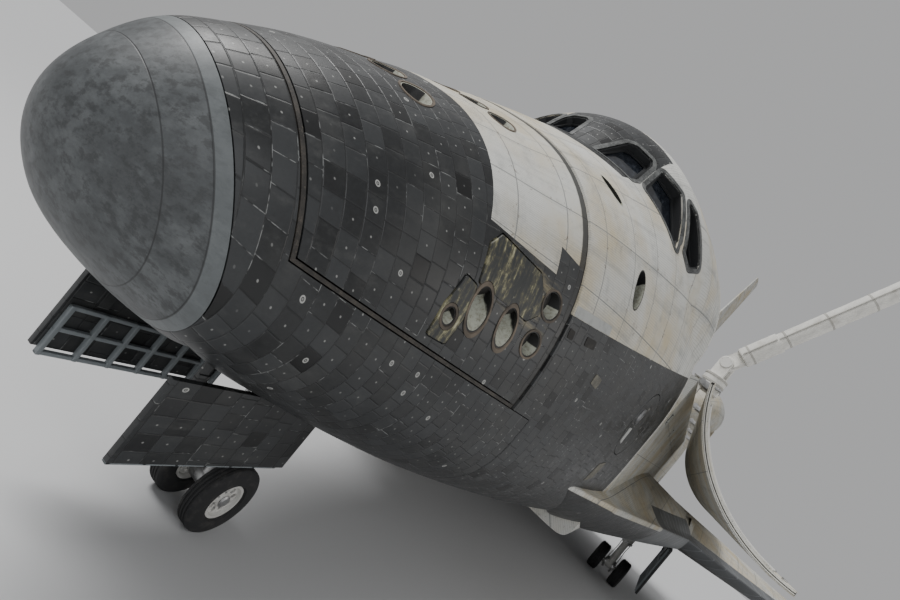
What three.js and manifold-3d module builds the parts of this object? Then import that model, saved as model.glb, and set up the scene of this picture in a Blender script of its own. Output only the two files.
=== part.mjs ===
// Winged space shuttle orbiter, parked on its extended gear with the bay doors open
// Inches in the airframe: x forward, y port, z up. The last group turns them into millimetres.
import * as THREE from "three";
import { mergeVertices } from "three/addons/utils/BufferGeometryUtils.js";
import Module from "manifold-3d";

const wasm = await Module();
wasm.setup();

// Driving dimensions, inches
const INCH = 25.4;
const DATUM_STATION = 900;
const PARK_PITCH = 3.605;
const GAP = 0.02;
const SKIN = 6;
// Limits that hold the whole fuselage, across and in height
const ACROSS = [-130, 130];
const TALL = [200, 560];

const STATIONS = {
  tip: 238, capTop: 252, moduleTop: 264.5, moduleAft: 378, wellAft: 392,
  cabinAft: 578, bayFore: 582, bayAft: 1307, bulkheadAft: 1313.5, base: 1511, finFoot: 527,
};
const BAY = {
  centre: 400, radius: 92, sill: 414, crown: 426, floor: 279, wide: 370, halfWidth: 105, round: 24,
};
const DOOR = {
  outer: 102, inner: 98.5, hingePort: 105, hingeHeight: 420, open: 175.5, inset: 1,
  knuckle: 2, strap: 12, firstStrap: 620, strapPitch: 155, strapCount: 5,
};
const RADIATOR = { fore: 590, aft: 1290, thickness: 1.56 };

const NOSE_GEAR = { station: 372, tyreRadius: 16, tyreWidth: 8.8, spread: 22, hub: 8 };
const MAIN_GEAR = { station: 1172, port: 136, tyreRadius: 22.25, tyreWidth: 16, spread: 37, hub: 10.5 };
const GROUND = { station: 1172, height: 170 };

// Finishes
const finish = (color, roughness, metalness = 0) =>
  new THREE.MeshStandardMaterial({ color, roughness, metalness });
const FINISH = {
  carbon: finish(0x4a4e52, 0.55),
  blackTile: finish(0x24262a, 0.6),
  whiteTile: finish(0xd8d6cf, 0.8),
  blanket: finish(0xcfcdc6, 0.9),
  liner: finish(0xc9c8c0, 0.85),
  radiator: finish(0xdfe3e6, 0.2, 0.6),
  glass: finish(0x1b2228, 0.08),
  nozzle: finish(0x6f665d, 0.45, 0.7),
  paint: finish(0xe6e5df, 0.5),
  steel: finish(0x9aa0a4, 0.4, 0.8),
  tyre: finish(0x202022, 0.85),
  cabin: finish(0x8d9298, 0.7),
};

// Forward fuselage sections: station, top, bottom, height of greatest width, half width,
// roundness of the upper half, roundness of the lower half
const HULL = [
  [238, 338, 336, 337, 1, 2, 2],
  [240.5, 347, 327, 337, 8.5, 2, 2],
  [245, 355, 320, 337, 15.5, 2, 2],
  [252, 364.5, 313, 337, 23, 2, 2],
  [265, 373.5, 305.5, 337, 32.5, 2.05, 2.05],
  [282, 383.5, 299, 336.5, 42.5, 2.15, 2.1],
  [307, 395.5, 293, 335, 53.5, 2.25, 2.2],
  [330, 406.5, 289.5, 333, 61.8, 2.35, 2.35],
  [352, 415.5, 287, 331, 69, 2.42, 2.5],
  [378, 428, 285, 331, 77, 2.45, 2.7],
  [400, 438, 284, 333, 83, 2.4, 2.85],
  [430, 451, 283, 336, 89, 2.35, 3.1],
  [460, 465, 282, 341, 93.5, 2.3, 3.4],
  [500, 482, 281, 350, 98.5, 2.25, 3.9],
  [540, 495, 280, 360, 102, 2.15, 4.4],
  [582, 502, 279, 370, 105, 2.05, 5],
];

// Cabin roof sections: station, top, half width at the roof's foot, roundness
const ROOF_FOOT = 420;
const ROOF = [
  [436, 449, 18, 2],
  [441, 456, 24, 2],
  [450, 466, 33, 2],
  [458, 475, 41, 2],
  [466, 482.5, 50, 2],
  [480, 492, 68, 2],
  [500, 499.5, 81, 1.95],
  [540, 502.5, 92, 2],
  [581, 502.3, 98, 2.1],
];

// Aft fuselage sections, columns as in HULL
const TAIL_HULL = [
  [1307, 502, 277, 370, 105, 2.05, 24],
  [1400, 506, 278, 372, 109, 2.2, 24],
  [1470, 510, 280, 374, 112, 2.4, 24],
  [1511, 512, 283, 376, 113, 2.6, 24],
];

// Wing sections: port, leading edge, trailing edge, underside height, thickness, nose rise
const WING = [
  [88, 466, 1507, 279, 63, 38],
  [105, 520, 1506, 279, 60, 38],
  [117, 588, 1504, 279, 58, 36],
  [150, 785, 1498, 280, 51, 31],
  [188, 1024, 1492, 281.5, 45, 24],
  [312, 1148, 1470, 290, 31, 16],
  [440, 1276, 1447, 298, 18.5, 10.5],
  [468.3, 1304.3, 1442.2, 300, 13, 8],
];
// Thickness along the chord: fraction of the chord, fraction of the greatest thickness
const CHORD = [
  [0, 0], [0.012, 0.2], [0.045, 0.42], [0.12, 0.7], [0.26, 0.93], [0.42, 1],
  [0.6, 0.93], [0.75, 0.7], [0.88, 0.42], [1, 0.05],
];
const ELEVON = {
  hinge: 1387, clear: 0.4, swing: 37, reach: 170, tall: 90,
};
// Elevons: name, then the ports of their sections from the inner end to the outer one
const ELEVON_SPANS = [
  ["inboard", [118, 150, 188, 250, 311]],
  ["outboard", [313, 376, 440, 456]],
];
// Carbon edge: everything ahead of this line of stations and ports, behind its own front station
const EDGE = { fore: 785, rear: [[785, 129.8], [1043.7, 170.9], [1352.8, 480]] };
const EDGE_HEIGHTS = [200, 400];

// Fin sections: height, leading edge, trailing edge, greatest half thickness
const FIN = [
  [496, 1272, 1545, 13.5],
  [818.7, 1594.5, 1703, 5.2],
];
const FIN_CHORD = [[0, 0.04], [0.04, 0.32], [0.2, 0.72], [0.5, 1], [0.6, 0.94], [1, 0.06]];
const RUDDER = {
  low: 592, high: 778, chord: 0.6, swing: 80, clear: 0.4, tube: 0.5, split: 0.25, sector: [54, 75, 97],
};
// Parachute housing at the fin's foot: front and aft station, height, radius
const CHUTE = { stations: [1478, 1556], height: 539.2, radius: 12 };

const FLAP = { hinge: 1532, height: 287, tail: 1613, halfWidth: 126, nose: 6, ledge: 110, clear: 0.5 };

// Engines: node, gimbal station, port, height, pitch up, yaw outboard
const ENGINES = [
  ["main_engine_upper", 1445, 0, 443, 16, 0],
  ["main_engine_left", 1468.2, 53, 342.6, 10, 3.5],
  ["main_engine_right", 1468.2, -53, 342.6, 10, -3.5],
];
// Bell walls: distance from the gimbal, outer radius, inner radius
const MAIN_BELL = [
  [30, 15, 0], [62, 17, 6], [80, 26, 22.5], [105, 35, 32.5], [130, 42, 40], [157, 47.2, 45.4],
];
const POD_BELL = [[8, 7, 0], [20, 8.5, 4], [32, 13.5, 11], [50, 18.5, 16.8], [77, 22.8, 21.5]];
// Heat shield dome round a bell: distance behind the base, radius
const SHIELD = [[GAP, 41], [9, 38.1], [16, 32], [18, 28]];

// Manoeuvring pod sections: station, port, height, half width, half height
const POD = [
  [1313, 60, 476, 5, 4],
  [1330, 64, 478, 24, 19],
  [1362, 70, 481, 37, 32],
  [1405, 77, 486, 44, 42],
  [1455, 82, 490, 47, 47],
  [1505, 87, 492, 46, 46],
  [1536, 89, 493, 41, 41],
];
const POD_SIDES = 18;
const POD_NOZZLE = { station: 1518, port: 88, height: 492, pitch: 15.8, yaw: 6.5 };
const STINGER = [[1500, 1552], [100, 132], [444, 478]];
const STINGER_THRUSTERS = { first: 1510, pitch: 14, count: 3, height: 461, face: 132, deep: 6, radius: 5 };

// Arm, from the shoulder out
const ARM = {
  station: 679.5, port: 108, shelf: 424, seat: 430, drum: 9, shoulder: 450, root: 8.5, rootLength: 40,
  heading: 255.3, lean: 118, radius: 6.5, upper: 251, lower: 278, wristYaw: 28, rollFace: 24, tip: 26,
  lug: 12, offset: 12.4, relief: 2.5, play: 0.25, can: 7.1, socket: 4.2,
};

// The arm's foot and the pocket that it stands in: limits in station, port and height
const ARM_FOOT = [[671.5, 687.5], [93, 103.5], [412.5, 424]];
const SILL_POCKET = [[670.7, 688.3], [92.5, 104], [412.4, 420]];

// Nose wheel well and main wheel well: limits in station, port and height
const NOSE_WELL = [[290, 386], [-24, 24], [270, 326]];
const MAIN_WELL = [[1056, 1196], [109, 180], [260, 326]];

// Bars of the legs: from and to in station, port and height, radius, sides
const NOSE_LEG = [
  [[372, 0, 268], [372, 0, 325], 5.5, 14],
  [[372, -23.5, 300], [372, 23.5, 300], 3, 14],
  [[370, 0, 289], [310, 0, 322], 2.2, 10],
];
const MAIN_LEG = [
  [[1172, 136, 232], [1172, 136, 325.9], 7.5, 14],
  [[1172, 109.1, 312], [1172, 179.9, 312], 4, 14],
  [[1172, 136, 250], [1082, 136, 320], 3.2, 12],
];
const NOSE_FORK = {
  socket: 283, socketRadius: 4.2, piston: 3.4, pistonTop: 282, collar: [255, 264], collarRadius: 5.2,
};
const STEERING_HEIGHT = 290;
const NOSE_AXLE = { half: 6, radius: 4.2, eye: 2.7, rod: 2.1 };
const MAIN_AXLE = { half: 9, radius: 6, eye: 3.9, rod: 3.3, piston: 5, pistonTop: 240 };

// Gear doors hang open beside their wells: limits in station, port and height
const NOSE_DOOR = { stations: [291, 368], faces: [24.4, 26.4], deep: 24, lip: 4, arms: [300, 350], arm: 4 };
const MAIN_DOOR = [[1060, 1190], [180.6, 183.6], [206, 280]];
const MAIN_DOOR_ARMS = { stations: [1080, 1165], width: 6, across: [177, 181], heights: [262, 300] };

// Windows of the port side: corners in station, port, height
const PANES = [
  [[440.5, 9.7, 456], [457.4, 12.5, 474], [465, 27, 475.6], [459, 29.5, 460]],
  [[459, 36, 460], [479, 33, 477], [492, 45, 475.5], [477, 63, 442]],
  [[495.5, 49.5, 476], [511, 57, 474], [515, 70.6, 456], [499, 68.5, 448]],
  [[508, 8, 501], [530, 8, 502], [530, 30, 497], [508, 30, 496]],
];
const REAR_PANE = [[578, 6, 452], [578, 6, 468], [578, 26, 466], [578, 26, 450]];
const PANE_REACH = 14;
const GLASS = { thickness: 1.5, limits: [[430, 540], [-80, 80], [440, 520]] };

const HATCH = {
  station: 520, port: 99.5, height: 365, radius: 20, depth: 5, clear: 0.5, axis: [520, 100.5, 344.75],
  paneAft: 6, paneUp: 8, paneRadius: 5,
};
const AIRLOCK = { height: 365, radius: 20 };
// Star tracker opening: its middle, the way it faces, half length, half width, depth, reach outside
const TRACKER = {
  middle: [427, 74, 408], way: [-0.42, 0.72, 0.55], long: 7.6, wide: 3.4, deep: 4.8, clear: 8, sides: 16,
};
const DISH_BRACKET = [[579, 599], [-83, -73], [414, 420]];

// Flight deck: limits of its blocks in station, port and height
const CABIN_FORE = 398;
const DECK = [
  [[470, 577], [-100, 100], [414, 418]],
  [[462, 480], [-45, 45], [418, 440]],
  [[480, 505], [-9, 9], [418, 430]],
];
const SEAT = [
  [[492, 514], [16, 38], [418, 432]],
  [[510, 516], [16, 38], [428, 462]],
];

// Pads that a carrier's struts meet: station, port, low, high
const PAD_RADIUS = 7;
const FORE_PAD = [412, 0, 281.5, 290];
const AFT_PAD = [1330, 93, 274, 281];

const DISH = { station: 594, port: -78, base: 420.4, height: 448, reach: 38, inboard: 12, radius: 17 };

// Small helpers
const rad = THREE.MathUtils.degToRad;
const at = (station, port, height) => new THREE.Vector3(DATUM_STATION - station, port, height);

function solidOf(positions, triangles) {
  const geometry = new THREE.BufferGeometry();
  geometry.setAttribute("position", new THREE.Float32BufferAttribute(positions, 3));
  geometry.setIndex(triangles);
  return closed(geometry);
}

// A closed solid from any geometry: shared vertices merged, flat triangles dropped, faces out
function closed(geometry) {
  for (const name of Object.keys(geometry.attributes)) {
    if (name !== "position") geometry.deleteAttribute(name);
  }
  const merged = mergeVertices(geometry, 1e-4);
  const places = merged.attributes.position;
  const index = Array.from(merged.index.array);
  const triangles = [];
  let volume = 0;
  const [a, b, c] = [0, 0, 0].map(() => new THREE.Vector3());
  for (let i = 0; i < index.length; i += 3) {
    const [p, q, r] = index.slice(i, i + 3);
    if (p === q || q === r || r === p) continue;
    triangles.push(p, q, r);
    a.fromBufferAttribute(places, p);
    b.fromBufferAttribute(places, q);
    c.fromBufferAttribute(places, r);
    volume += a.dot(b.cross(c));
  }
  if (volume < 0) triangles.reverse();
  const mesh = new wasm.Mesh({
    numProp: 3,
    vertProperties: Float32Array.from(places.array),
    triVerts: Uint32Array.from(triangles),
  });
  return new wasm.Manifold(mesh);
}

// Skin over equal rings of points, with flat ends
function loft(rings) {
  const count = rings[0].length;
  const positions = rings.flat().flatMap((p) => [p.x, p.y, p.z]);
  const triangles = [];
  for (let k = 0; k < rings.length - 1; k++) {
    for (let i = 0; i < count; i++) {
      const j = (i + 1) % count;
      const [a, b] = [k * count + i, k * count + j];
      // The split of each face is mirrored too, so port and starboard stay alike
      if (i < count / 2) triangles.push(a, b, b + count, a, b + count, a + count);
      else triangles.push(a, b, a + count, b, b + count, a + count);
    }
  }
  const last = (rings.length - 1) * count;
  for (let i = 1; i < count - 1; i++) {
    triangles.push(0, i + 1, i, last, last + i, last + i + 1);
  }
  return solidOf(positions, triangles);
}

// A box by its limits in station, port and height
function block([fore, aft], [right, left], [low, high]) {
  const box = new THREE.BoxGeometry(aft - fore, left - right, high - low);
  const middle = at((fore + aft) / 2, (right + left) / 2, (low + high) / 2);
  return closed(box.translate(middle.x, middle.y, middle.z));
}

// A round bar or cone between two points
function rod(from, to, radius, endRadius = radius, sides = 14) {
  const length = from.distanceTo(to);
  const bar = new THREE.CylinderGeometry(endRadius, radius, length, sides);
  const turn = new THREE.Quaternion().setFromUnitVectors(
    new THREE.Vector3(0, 1, 0), to.clone().sub(from).normalize());
  bar.applyQuaternion(turn);
  const middle = from.clone().add(to).multiplyScalar(0.5);
  return closed(bar.translate(middle.x, middle.y, middle.z));
}

// Round bars straight across or straight up
function crossBar([station, port, height], half, radius, sides = 14) {
  return rod(at(station, port - half, height), at(station, port + half, height), radius, radius, sides);
}
function upright([station, port, low, high], radius, sides = 14) {
  return rod(at(station, port, low), at(station, port, high), radius, radius, sides);
}

// A profile of distance and radius turned about the line from a point along a direction
function turned(profile, from, direction, sides = 32, start = 0) {
  const points = profile.map(([along, radius]) => new THREE.Vector2(radius, along));
  const lathe = new THREE.LatheGeometry(points, sides, start);
  lathe.applyQuaternion(new THREE.Quaternion().setFromUnitVectors(new THREE.Vector3(0, 1, 0), direction));
  return closed(lathe.translate(from.x, from.y, from.z));
}

// A flat outline given thickness on both sides of its plane
function slab(points, outward, inward) {
  const normal = new THREE.Vector3().crossVectors(
    points[1].clone().sub(points[0]), points[2].clone().sub(points[0])).normalize();
  const shifted = (distance) => points.map((p) => p.clone().addScaledVector(normal, distance));
  return loft([shifted(outward), shifted(-inward)]);
}

// An outline in two airframe coordinates, drawn out along the third from one limit to the other
function prism(outline, along, [from, to]) {
  const place = {
    station: (u, v, w) => at(w, u, v),
    port: (u, v, w) => at(u, w, v),
    height: (u, v, w) => at(u, v, w),
  }[along];
  const shape = new THREE.Shape(outline.map(([u, v]) => new THREE.Vector2(u, v)));
  const drawn = new THREE.ExtrudeGeometry(shape, { depth: 1, bevelEnabled: false });
  const places = drawn.attributes.position;
  for (let i = 0; i < places.count; i++) {
    const point = place(places.getX(i), places.getY(i), from + (to - from) * places.getZ(i));
    places.setXYZ(i, point.x, point.y, point.z);
  }
  return closed(drawn);
}

const joined = (solids) => solids.reduce((sum, next) => sum.add(next));
const cutBy = (solid, cutters) => cutters.reduce((rest, cutter) => rest.subtract(cutter), solid);
const mirrored = (solid) => solid.mirror([0, 1, 0]);
const both = (solid) => solid.add(mirrored(solid));

function interpolate(table, key) {
  let row = 0;
  while (row < table.length - 2 && table[row + 1][0] < key) row++;
  const [low, high] = [table[row], table[row + 1]];
  const share = (key - low[0]) / (high[0] - low[0]);
  return low.map((value, column) => value + (high[column] - value) * share);
}

// Fuselage sections
const QUARTER = 5;
const trimmed = (value) => (Math.abs(value) < 1e-9 ? 0 : value);

function hullRing([station, top, bottom, wide, halfWidth, roundTop, roundBottom], grow = 0) {
  const ring = [];
  for (let i = 0; i < 4 * QUARTER; i++) {
    const angle = (i / QUARTER) * (Math.PI / 2);
    const [across, up] = [trimmed(Math.sin(angle)), trimmed(Math.cos(angle))];
    const power = 2 / (up >= 0 ? roundTop : roundBottom);
    const reach = (up >= 0 ? top - wide : wide - bottom) + grow;
    const port = Math.sign(across) * Math.abs(across) ** power * (halfWidth + grow);
    ring.push(at(station, port, wide + Math.sign(up) * Math.abs(up) ** power * reach));
  }
  return ring;
}

function roofRing([station, top, halfWidth, round], grow = 0) {
  const arch = [];
  for (let i = 0; i <= QUARTER; i++) {
    const angle = (i / QUARTER) * (Math.PI / 2);
    const across = trimmed(Math.sin(angle)) ** (2 / round);
    const up = trimmed(Math.cos(angle)) ** (2 / round);
    arch.push([across * (halfWidth + grow), ROOF_FOOT + up * (top - ROOF_FOOT + grow)]);
  }
  arch.push([halfWidth / 2, ROOF_FOOT - 40]);
  const port = arch.map(([across, up]) => at(station, across, up));
  const starboard = arch.slice(1).map(([across, up]) => at(station, -across, up));
  return [...port, ...starboard.reverse()];
}

// A table whose end sections are moved outwards along the fuselage
function lengthened(table, reach) {
  return table.map((row, i) => {
    const shift = i === 0 ? -reach : i === table.length - 1 ? reach : 0;
    return [row[0] + shift, ...row.slice(1)];
  });
}

function foreBody(grow = 0) {
  const hull = loft(HULL.map((row) => hullRing(row, grow)));
  return hull.add(loft(ROOF.map((row) => roofRing(row, grow))));
}

// The middle has upright side walls from its square lower corners to past the sill
function midOutline(grow = 0) {
  const row = [BAY.crown, BAY.floor, BAY.wide, BAY.halfWidth, BAY.round, BAY.round];
  return loft([
    hullRing([STATIONS.bayFore - grow, ...row], grow),
    hullRing([STATIONS.bayAft - 0.5 + grow, ...row], grow),
  ]);
}

const tailBody = (grow = 0) => loft(lengthened(TAIL_HULL, grow).map((row) => hullRing(row, grow)));

const nodes = [];
const hinges = {};
function add(name, solid, material) {
  nodes.push({ name, solid, material });
}

// Slanted seams of the nose: everything ahead of a plane that leans aft going down
function aheadOf(topStation, topHeight, slope, shift) {
  const reach = 120;
  const edge = (height) => topStation + (topHeight - height) * slope + shift;
  return prism([
    [STATIONS.tip - 150, topHeight + reach], [edge(topHeight + reach), topHeight + reach],
    [edge(topHeight - reach), topHeight - reach], [STATIONS.tip - 150, topHeight - reach],
  ], "port", ACROSS);
}
const capRegion = (shift) => aheadOf(STATIONS.capTop, 365, 0.51, shift);
const moduleFront = (shift) => aheadOf(STATIONS.moduleTop, 373, 0.4, shift);
const MODULE_FLOOR = 337.5;
const COLLAR_AFT = 300;
const outer = foreBody();

// Thruster openings of the nose: station, port, height, radius, direction port, direction up,
// depth inside the skin, reach outside it
const NOSE_THRUSTERS = [
  [306.7, 14.7, 393, 5.4, 0, 1, 7, 10],
  [306.7, 0, 394.5, 5.4, 0, 1, 7, 10],
  [350.9, 15, 413.5, 5.4, 0, 1, 7, 10],
  [350.9, 0, 415, 5.4, 0, 1, 7, 10],
  [365.3, 67.9, 374, 5, 1, 0.15, 7, 8],
  [364.5, 71, 359.4, 4.6, 1, 0.05, 7, 8],
  [334.6, 61.6, 357.2, 4.6, 0.75, -0.66, 14, 19],
  [349.4, 66.4, 358.2, 4.4, 0.75, -0.66, 13, 18],
  [325.2, 59.1, 350.4, 2.6, 1, -0.45, 5, 7],
];
const PIT = { throat: 0.84, mouth: 1.12, sides: 12 };

function noseThrusterPits() {
  const pits = NOSE_THRUSTERS.map(([station, port, height, radius, across, up, deep, clear]) => {
    const mouth = at(station, port, height);
    const way = new THREE.Vector3(0, across, up).normalize();
    const [from, to] = [-deep, clear].map((along) => mouth.clone().addScaledVector(way, along));
    return rod(from, to, radius * PIT.throat, radius * PIT.mouth, PIT.sides);
  });
  return both(joined(pits));
}

function addNose() {
  add("nose_cap", outer.intersect(capRegion(-GAP)), FINISH.carbon);
  const rest = outer.subtract(capRegion(0));
  const moduleRegion = (grow) => block(
    [STATIONS.tip, STATIONS.moduleAft + grow], ACROSS, [MODULE_FLOOR - grow, TALL[1]]);
  const module = rest.intersect(moduleRegion(0).subtract(moduleFront(0)));
  add("forward_thruster_module", module.subtract(noseThrusterPits()), FINISH.blackTile);
  const low = rest.subtract(moduleRegion(GAP).subtract(moduleFront(-GAP)));
  const foot = block([STATIONS.tip, STATIONS.wellAft], ACROSS, [TALL[0], MODULE_FLOOR]);
  const collar = block([STATIONS.tip, COLLAR_AFT], ACROSS, [MODULE_FLOOR - 5, TALL[1]]);
  add("lower_nose", low.intersect(foot.add(collar)).subtract(block(...NOSE_WELL)), FINISH.blackTile);
}

function windowCuts() {
  const cuts = PANES.map((corners) => slab(corners.map((c) => at(...c)), PANE_REACH, PANE_REACH));
  return both(joined(cuts));
}

// An oval opening whose long side runs up the skin
function trackerPit() {
  const middle = at(...TRACKER.middle);
  const way = new THREE.Vector3(-TRACKER.way[0], TRACKER.way[1], TRACKER.way[2]).normalize();
  const up = new THREE.Vector3(0, 0, 1).addScaledVector(way, -way.z).normalize();
  const aside = new THREE.Vector3().crossVectors(way, up);
  const ring = (along) => Array.from({ length: TRACKER.sides }, (_, i) => {
    const angle = (i / TRACKER.sides) * 2 * Math.PI;
    return middle.clone().addScaledVector(way, along)
      .addScaledVector(up, Math.cos(angle) * TRACKER.long)
      .addScaledVector(aside, Math.sin(angle) * TRACKER.wide);
  });
  return loft([ring(-TRACKER.deep), ring(TRACKER.clear)]);
}

// A round piece across the hatch's place, long enough to pass the skin
function hatchBar(radius, aft = 0, up = 0, sides = 32) {
  return crossBar([HATCH.station + aft, HATCH.port, HATCH.height + up], 16, radius, sides);
}

function addCabin() {
  const body = outer.intersect(block([STATIONS.moduleAft + GAP, STATIONS.cabinAft], ACROSS, TALL));
  const notch = block(
    [STATIONS.moduleAft - 1, STATIONS.wellAft + GAP], ACROSS, [TALL[0], MODULE_FLOOR + GAP]);
  const inside = foreBody(-SKIN).intersect(block([CABIN_FORE, STATIONS.cabinAft + 1], ACROSS, TALL));
  const hatchWay = hatchBar(HATCH.radius + HATCH.clear);
  const shell = cutBy(body, [notch, inside, windowCuts(), hatchWay, trackerPit()]);
  add("crew_cabin", shell.add(upright(FORE_PAD, PAD_RADIUS)), FINISH.whiteTile);

  // Inner panes: a thin shell just inside the window openings
  const pane = foreBody(-SKIN - GAP).subtract(foreBody(-SKIN - GLASS.thickness));
  add("cabin_glass", pane.intersect(block(...GLASS.limits)), FINISH.glass);

  const seat = both(joined(SEAT.map((limits) => block(...limits))));
  const deck = joined(DECK.map((limits) => block(...limits))).add(seat);
  add("flight_deck", deck.intersect(foreBody(-SKIN - GAP)), FINISH.cabin);

  const plug = hatchBar(HATCH.radius).intersect(outer).subtract(foreBody(-HATCH.depth));
  const view = hatchBar(HATCH.paneRadius, HATCH.paneAft, HATCH.paneUp, 16);
  add("side_hatch", plug.subtract(view), FINISH.blackTile);
  hinges.side_hatch = [
    at(...HATCH.axis), new THREE.Vector3(-1, 0, 0)];

  // Bulkhead between the cabin and the bay, with the airlock opening and two rear windows
  const thickness = [STATIONS.cabinAft + GAP, STATIONS.bayFore - GAP];
  const plate = outer.intersect(block(thickness, ACROSS, TALL));
  const lock = rod(
    at(STATIONS.cabinAft - 8, 0, AIRLOCK.height), at(STATIONS.bayFore + 1.5, 0, AIRLOCK.height),
    AIRLOCK.radius, AIRLOCK.radius, 24);
  const rear = slab(REAR_PANE.map((c) => at(...c)), 6, 6);
  add("forward_bulkhead", cutBy(plate, [lock, both(rear)]).add(block(...DISH_BRACKET)), FINISH.liner);
}

function addBay() {
  const past = [STATIONS.bayFore - 12, STATIONS.bayAft + 13];
  const trough = rod(at(past[0], 0, BAY.centre), at(past[1], 0, BAY.centre), BAY.radius, BAY.radius, 40);
  const above = block(past, [-BAY.radius, BAY.radius], [BAY.centre, TALL[1]]);
  const overSill = block(past, ACROSS, [BAY.sill, TALL[1]]);
  add("mid_fuselage", cutBy(midOutline(), [trough, above, overSill, block(...SILL_POCKET)]), FINISH.blanket);

  const plate = block([STATIONS.bayAft - 1, STATIONS.bulkheadAft - GAP], ACROSS, TALL);
  add("aft_bulkhead", tailBody().intersect(plate), FINISH.liner);
}

// A bay door as a curved panel in equal steps, built closed and turned about its hinge
const ARC = { from: 13, step: 7.68, count: 10 };
function doorArc(outerRadius, innerRadius, [fore, aft], [first, last]) {
  const steps = Array.from({ length: last - first + 1 }, (_, i) => first + i);
  const point = (radius) => (k) => {
    const turn = rad(ARC.from + k * ARC.step);
    return [Math.cos(turn) * radius, BAY.centre + Math.sin(turn) * radius];
  };
  const outline = [...steps.map(point(outerRadius)), ...steps.reverse().map(point(innerRadius))];
  const [c, s] = [Math.cos(rad(-DOOR.open)), Math.sin(rad(-DOOR.open))];
  const opened = outline.map(([port, height]) => {
    const [across, up] = [port - DOOR.hingePort, height - DOOR.hingeHeight];
    return [DOOR.hingePort + across * c - up * s, DOOR.hingeHeight + across * s + up * c];
  });
  return prism(opened, "station", [fore, aft]);
}

function addDoors() {
  const length = [STATIONS.bayFore + DOOR.inset, STATIONS.bayAft - DOOR.inset - 0.5];
  const panel = doorArc(DOOR.outer, DOOR.inner, length, [0, ARC.count]);
  const leaf = (from) => {
    const to = from + DOOR.strap;
    const line = (station) => at(station, DOOR.hingePort, DOOR.hingeHeight);
    const arm = block(
      [from, to], [DOOR.hingePort, DOOR.hingePort + 8], [DOOR.hingeHeight - 3, DOOR.hingeHeight + 1]);
    return rod(line(from), line(to), DOOR.knuckle, DOOR.knuckle, 12).add(arm);
  };
  const places = Array.from({ length: DOOR.strapCount }, (_, k) => DOOR.firstStrap + k * DOOR.strapPitch);
  const door = panel.add(joined(places.map(leaf)));
  const face = DOOR.inner - 2 * GAP;
  const radiator = doorArc(
    face, face - RADIATOR.thickness, [RADIATOR.fore, RADIATOR.aft], [1, ARC.count - 1]);
  add("bay_door_left", door, FINISH.blanket);
  add("radiator_left", radiator, FINISH.radiator);
  add("bay_door_right", mirrored(door), FINISH.blanket);
  add("radiator_right", mirrored(radiator), FINISH.radiator);
  hinges.bay_door_right = [
    at(DATUM_STATION, -DOOR.hingePort, DOOR.hingeHeight), new THREE.Vector3(-1, 0, 0)];
}

// Wing
function wingRing([port, lead, trail, under, thick, rise], grow = 0) {
  const upper = [];
  const lower = [];
  for (const [share, part] of CHORD) {
    const station = lead + share * (trail - lead);
    const lift = rise * Math.max(0, 1 - share / 0.2) ** 2;
    const low = under + lift;
    upper.push(at(station, port, low + part * thick * (1 - (0.55 * lift) / rise) + 0.2 + grow));
    lower.push(at(station, port, low - part * lift * 0.2 - grow));
  }
  return [...upper, ...lower.slice(1).reverse()];
}

// The wing's underside and upper side on the hinge line
function hingeFaces(port) {
  const [, lead, trail, under, thick] = interpolate(WING, port);
  const [, part] = interpolate(CHORD, (ELEVON.hinge - lead) / (trail - lead));
  return [under, under + part * thick + 0.2];
}

// An elevon's own hinge line, and at each section how far its edges stand off that line
function hingeLine(ports) {
  const middle = (port) => at(ELEVON.hinge, port, (hingeFaces(port)[0] + hingeFaces(port)[1]) / 2);
  const [start, end] = [middle(ports[0]), middle(ports[ports.length - 1])];
  const axis = end.clone().sub(start).normalize();
  const sections = ports.map((port) => {
    const along = (port - ports[0]) / axis.y;
    const level = start.z + along * axis.z;
    const [low, high] = hingeFaces(port);
    return { along, radius: Math.max(high - level, level - low) };
  });
  return { start, axis, sections };
}

// Everything behind a hinge line, with planes square to it and its front edge ahead of the line
function behindHinge({ start, axis, sections }, stretch, ahead) {
  const up = new THREE.Vector3(0, -axis.z, axis.y);
  const last = sections.length - 1;
  const rings = sections.map(({ along, radius }, i) => {
    const shift = along + (i === 0 ? -stretch : i === last ? stretch : 0);
    const corners = [
      [ahead(radius), -ELEVON.tall], [-ELEVON.reach, -ELEVON.tall],
      [-ELEVON.reach, ELEVON.tall], [ahead(radius), ELEVON.tall],
    ];
    return corners.map(([forward, lift]) => start.clone()
      .addScaledVector(axis, shift).add(new THREE.Vector3(forward, 0, 0)).addScaledVector(up, lift));
  });
  return loft(rings);
}

// A round bar about a hinge line that follows the elevon's thickness
function hingeBar({ start, axis, sections }, stretch, grow) {
  const profile = sections.map(({ along, radius }) => [along, radius + grow]);
  const [first, last] = [profile[0], profile[profile.length - 1]];
  first[0] -= stretch;
  last[0] += stretch;
  return turned([[first[0], 0], ...profile, [last[0], 0]], start, axis, 24);
}

// One elevon: the moving piece and the room it needs
function elevon(whole, line) {
  const share = Math.tan(rad(ELEVON.swing / 2));
  const nose = hingeBar(line, 0, 0).intersect(whole);
  const moving = whole.intersect(behindHinge(line, 0, () => 0)).add(nose);
  const room = behindHinge(line, ELEVON.clear, (radius) => share * radius + ELEVON.clear);
  return { moving, room: room.add(hingeBar(line, ELEVON.clear, ELEVON.clear)) };
}

// The region of the carbon edge, its border moved aft and forward by a shift
function edgeRegion(shift) {
  const rear = EDGE.rear.map(([station, port]) => [station + shift, port]);
  rear[0] = [EDGE.fore - shift, interpolate(rear, EDGE.fore - shift)[1]];
  return prism([...rear, [EDGE.fore - shift, rear[rear.length - 1][1]]], "height", EDGE_HEIGHTS);
}

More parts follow.
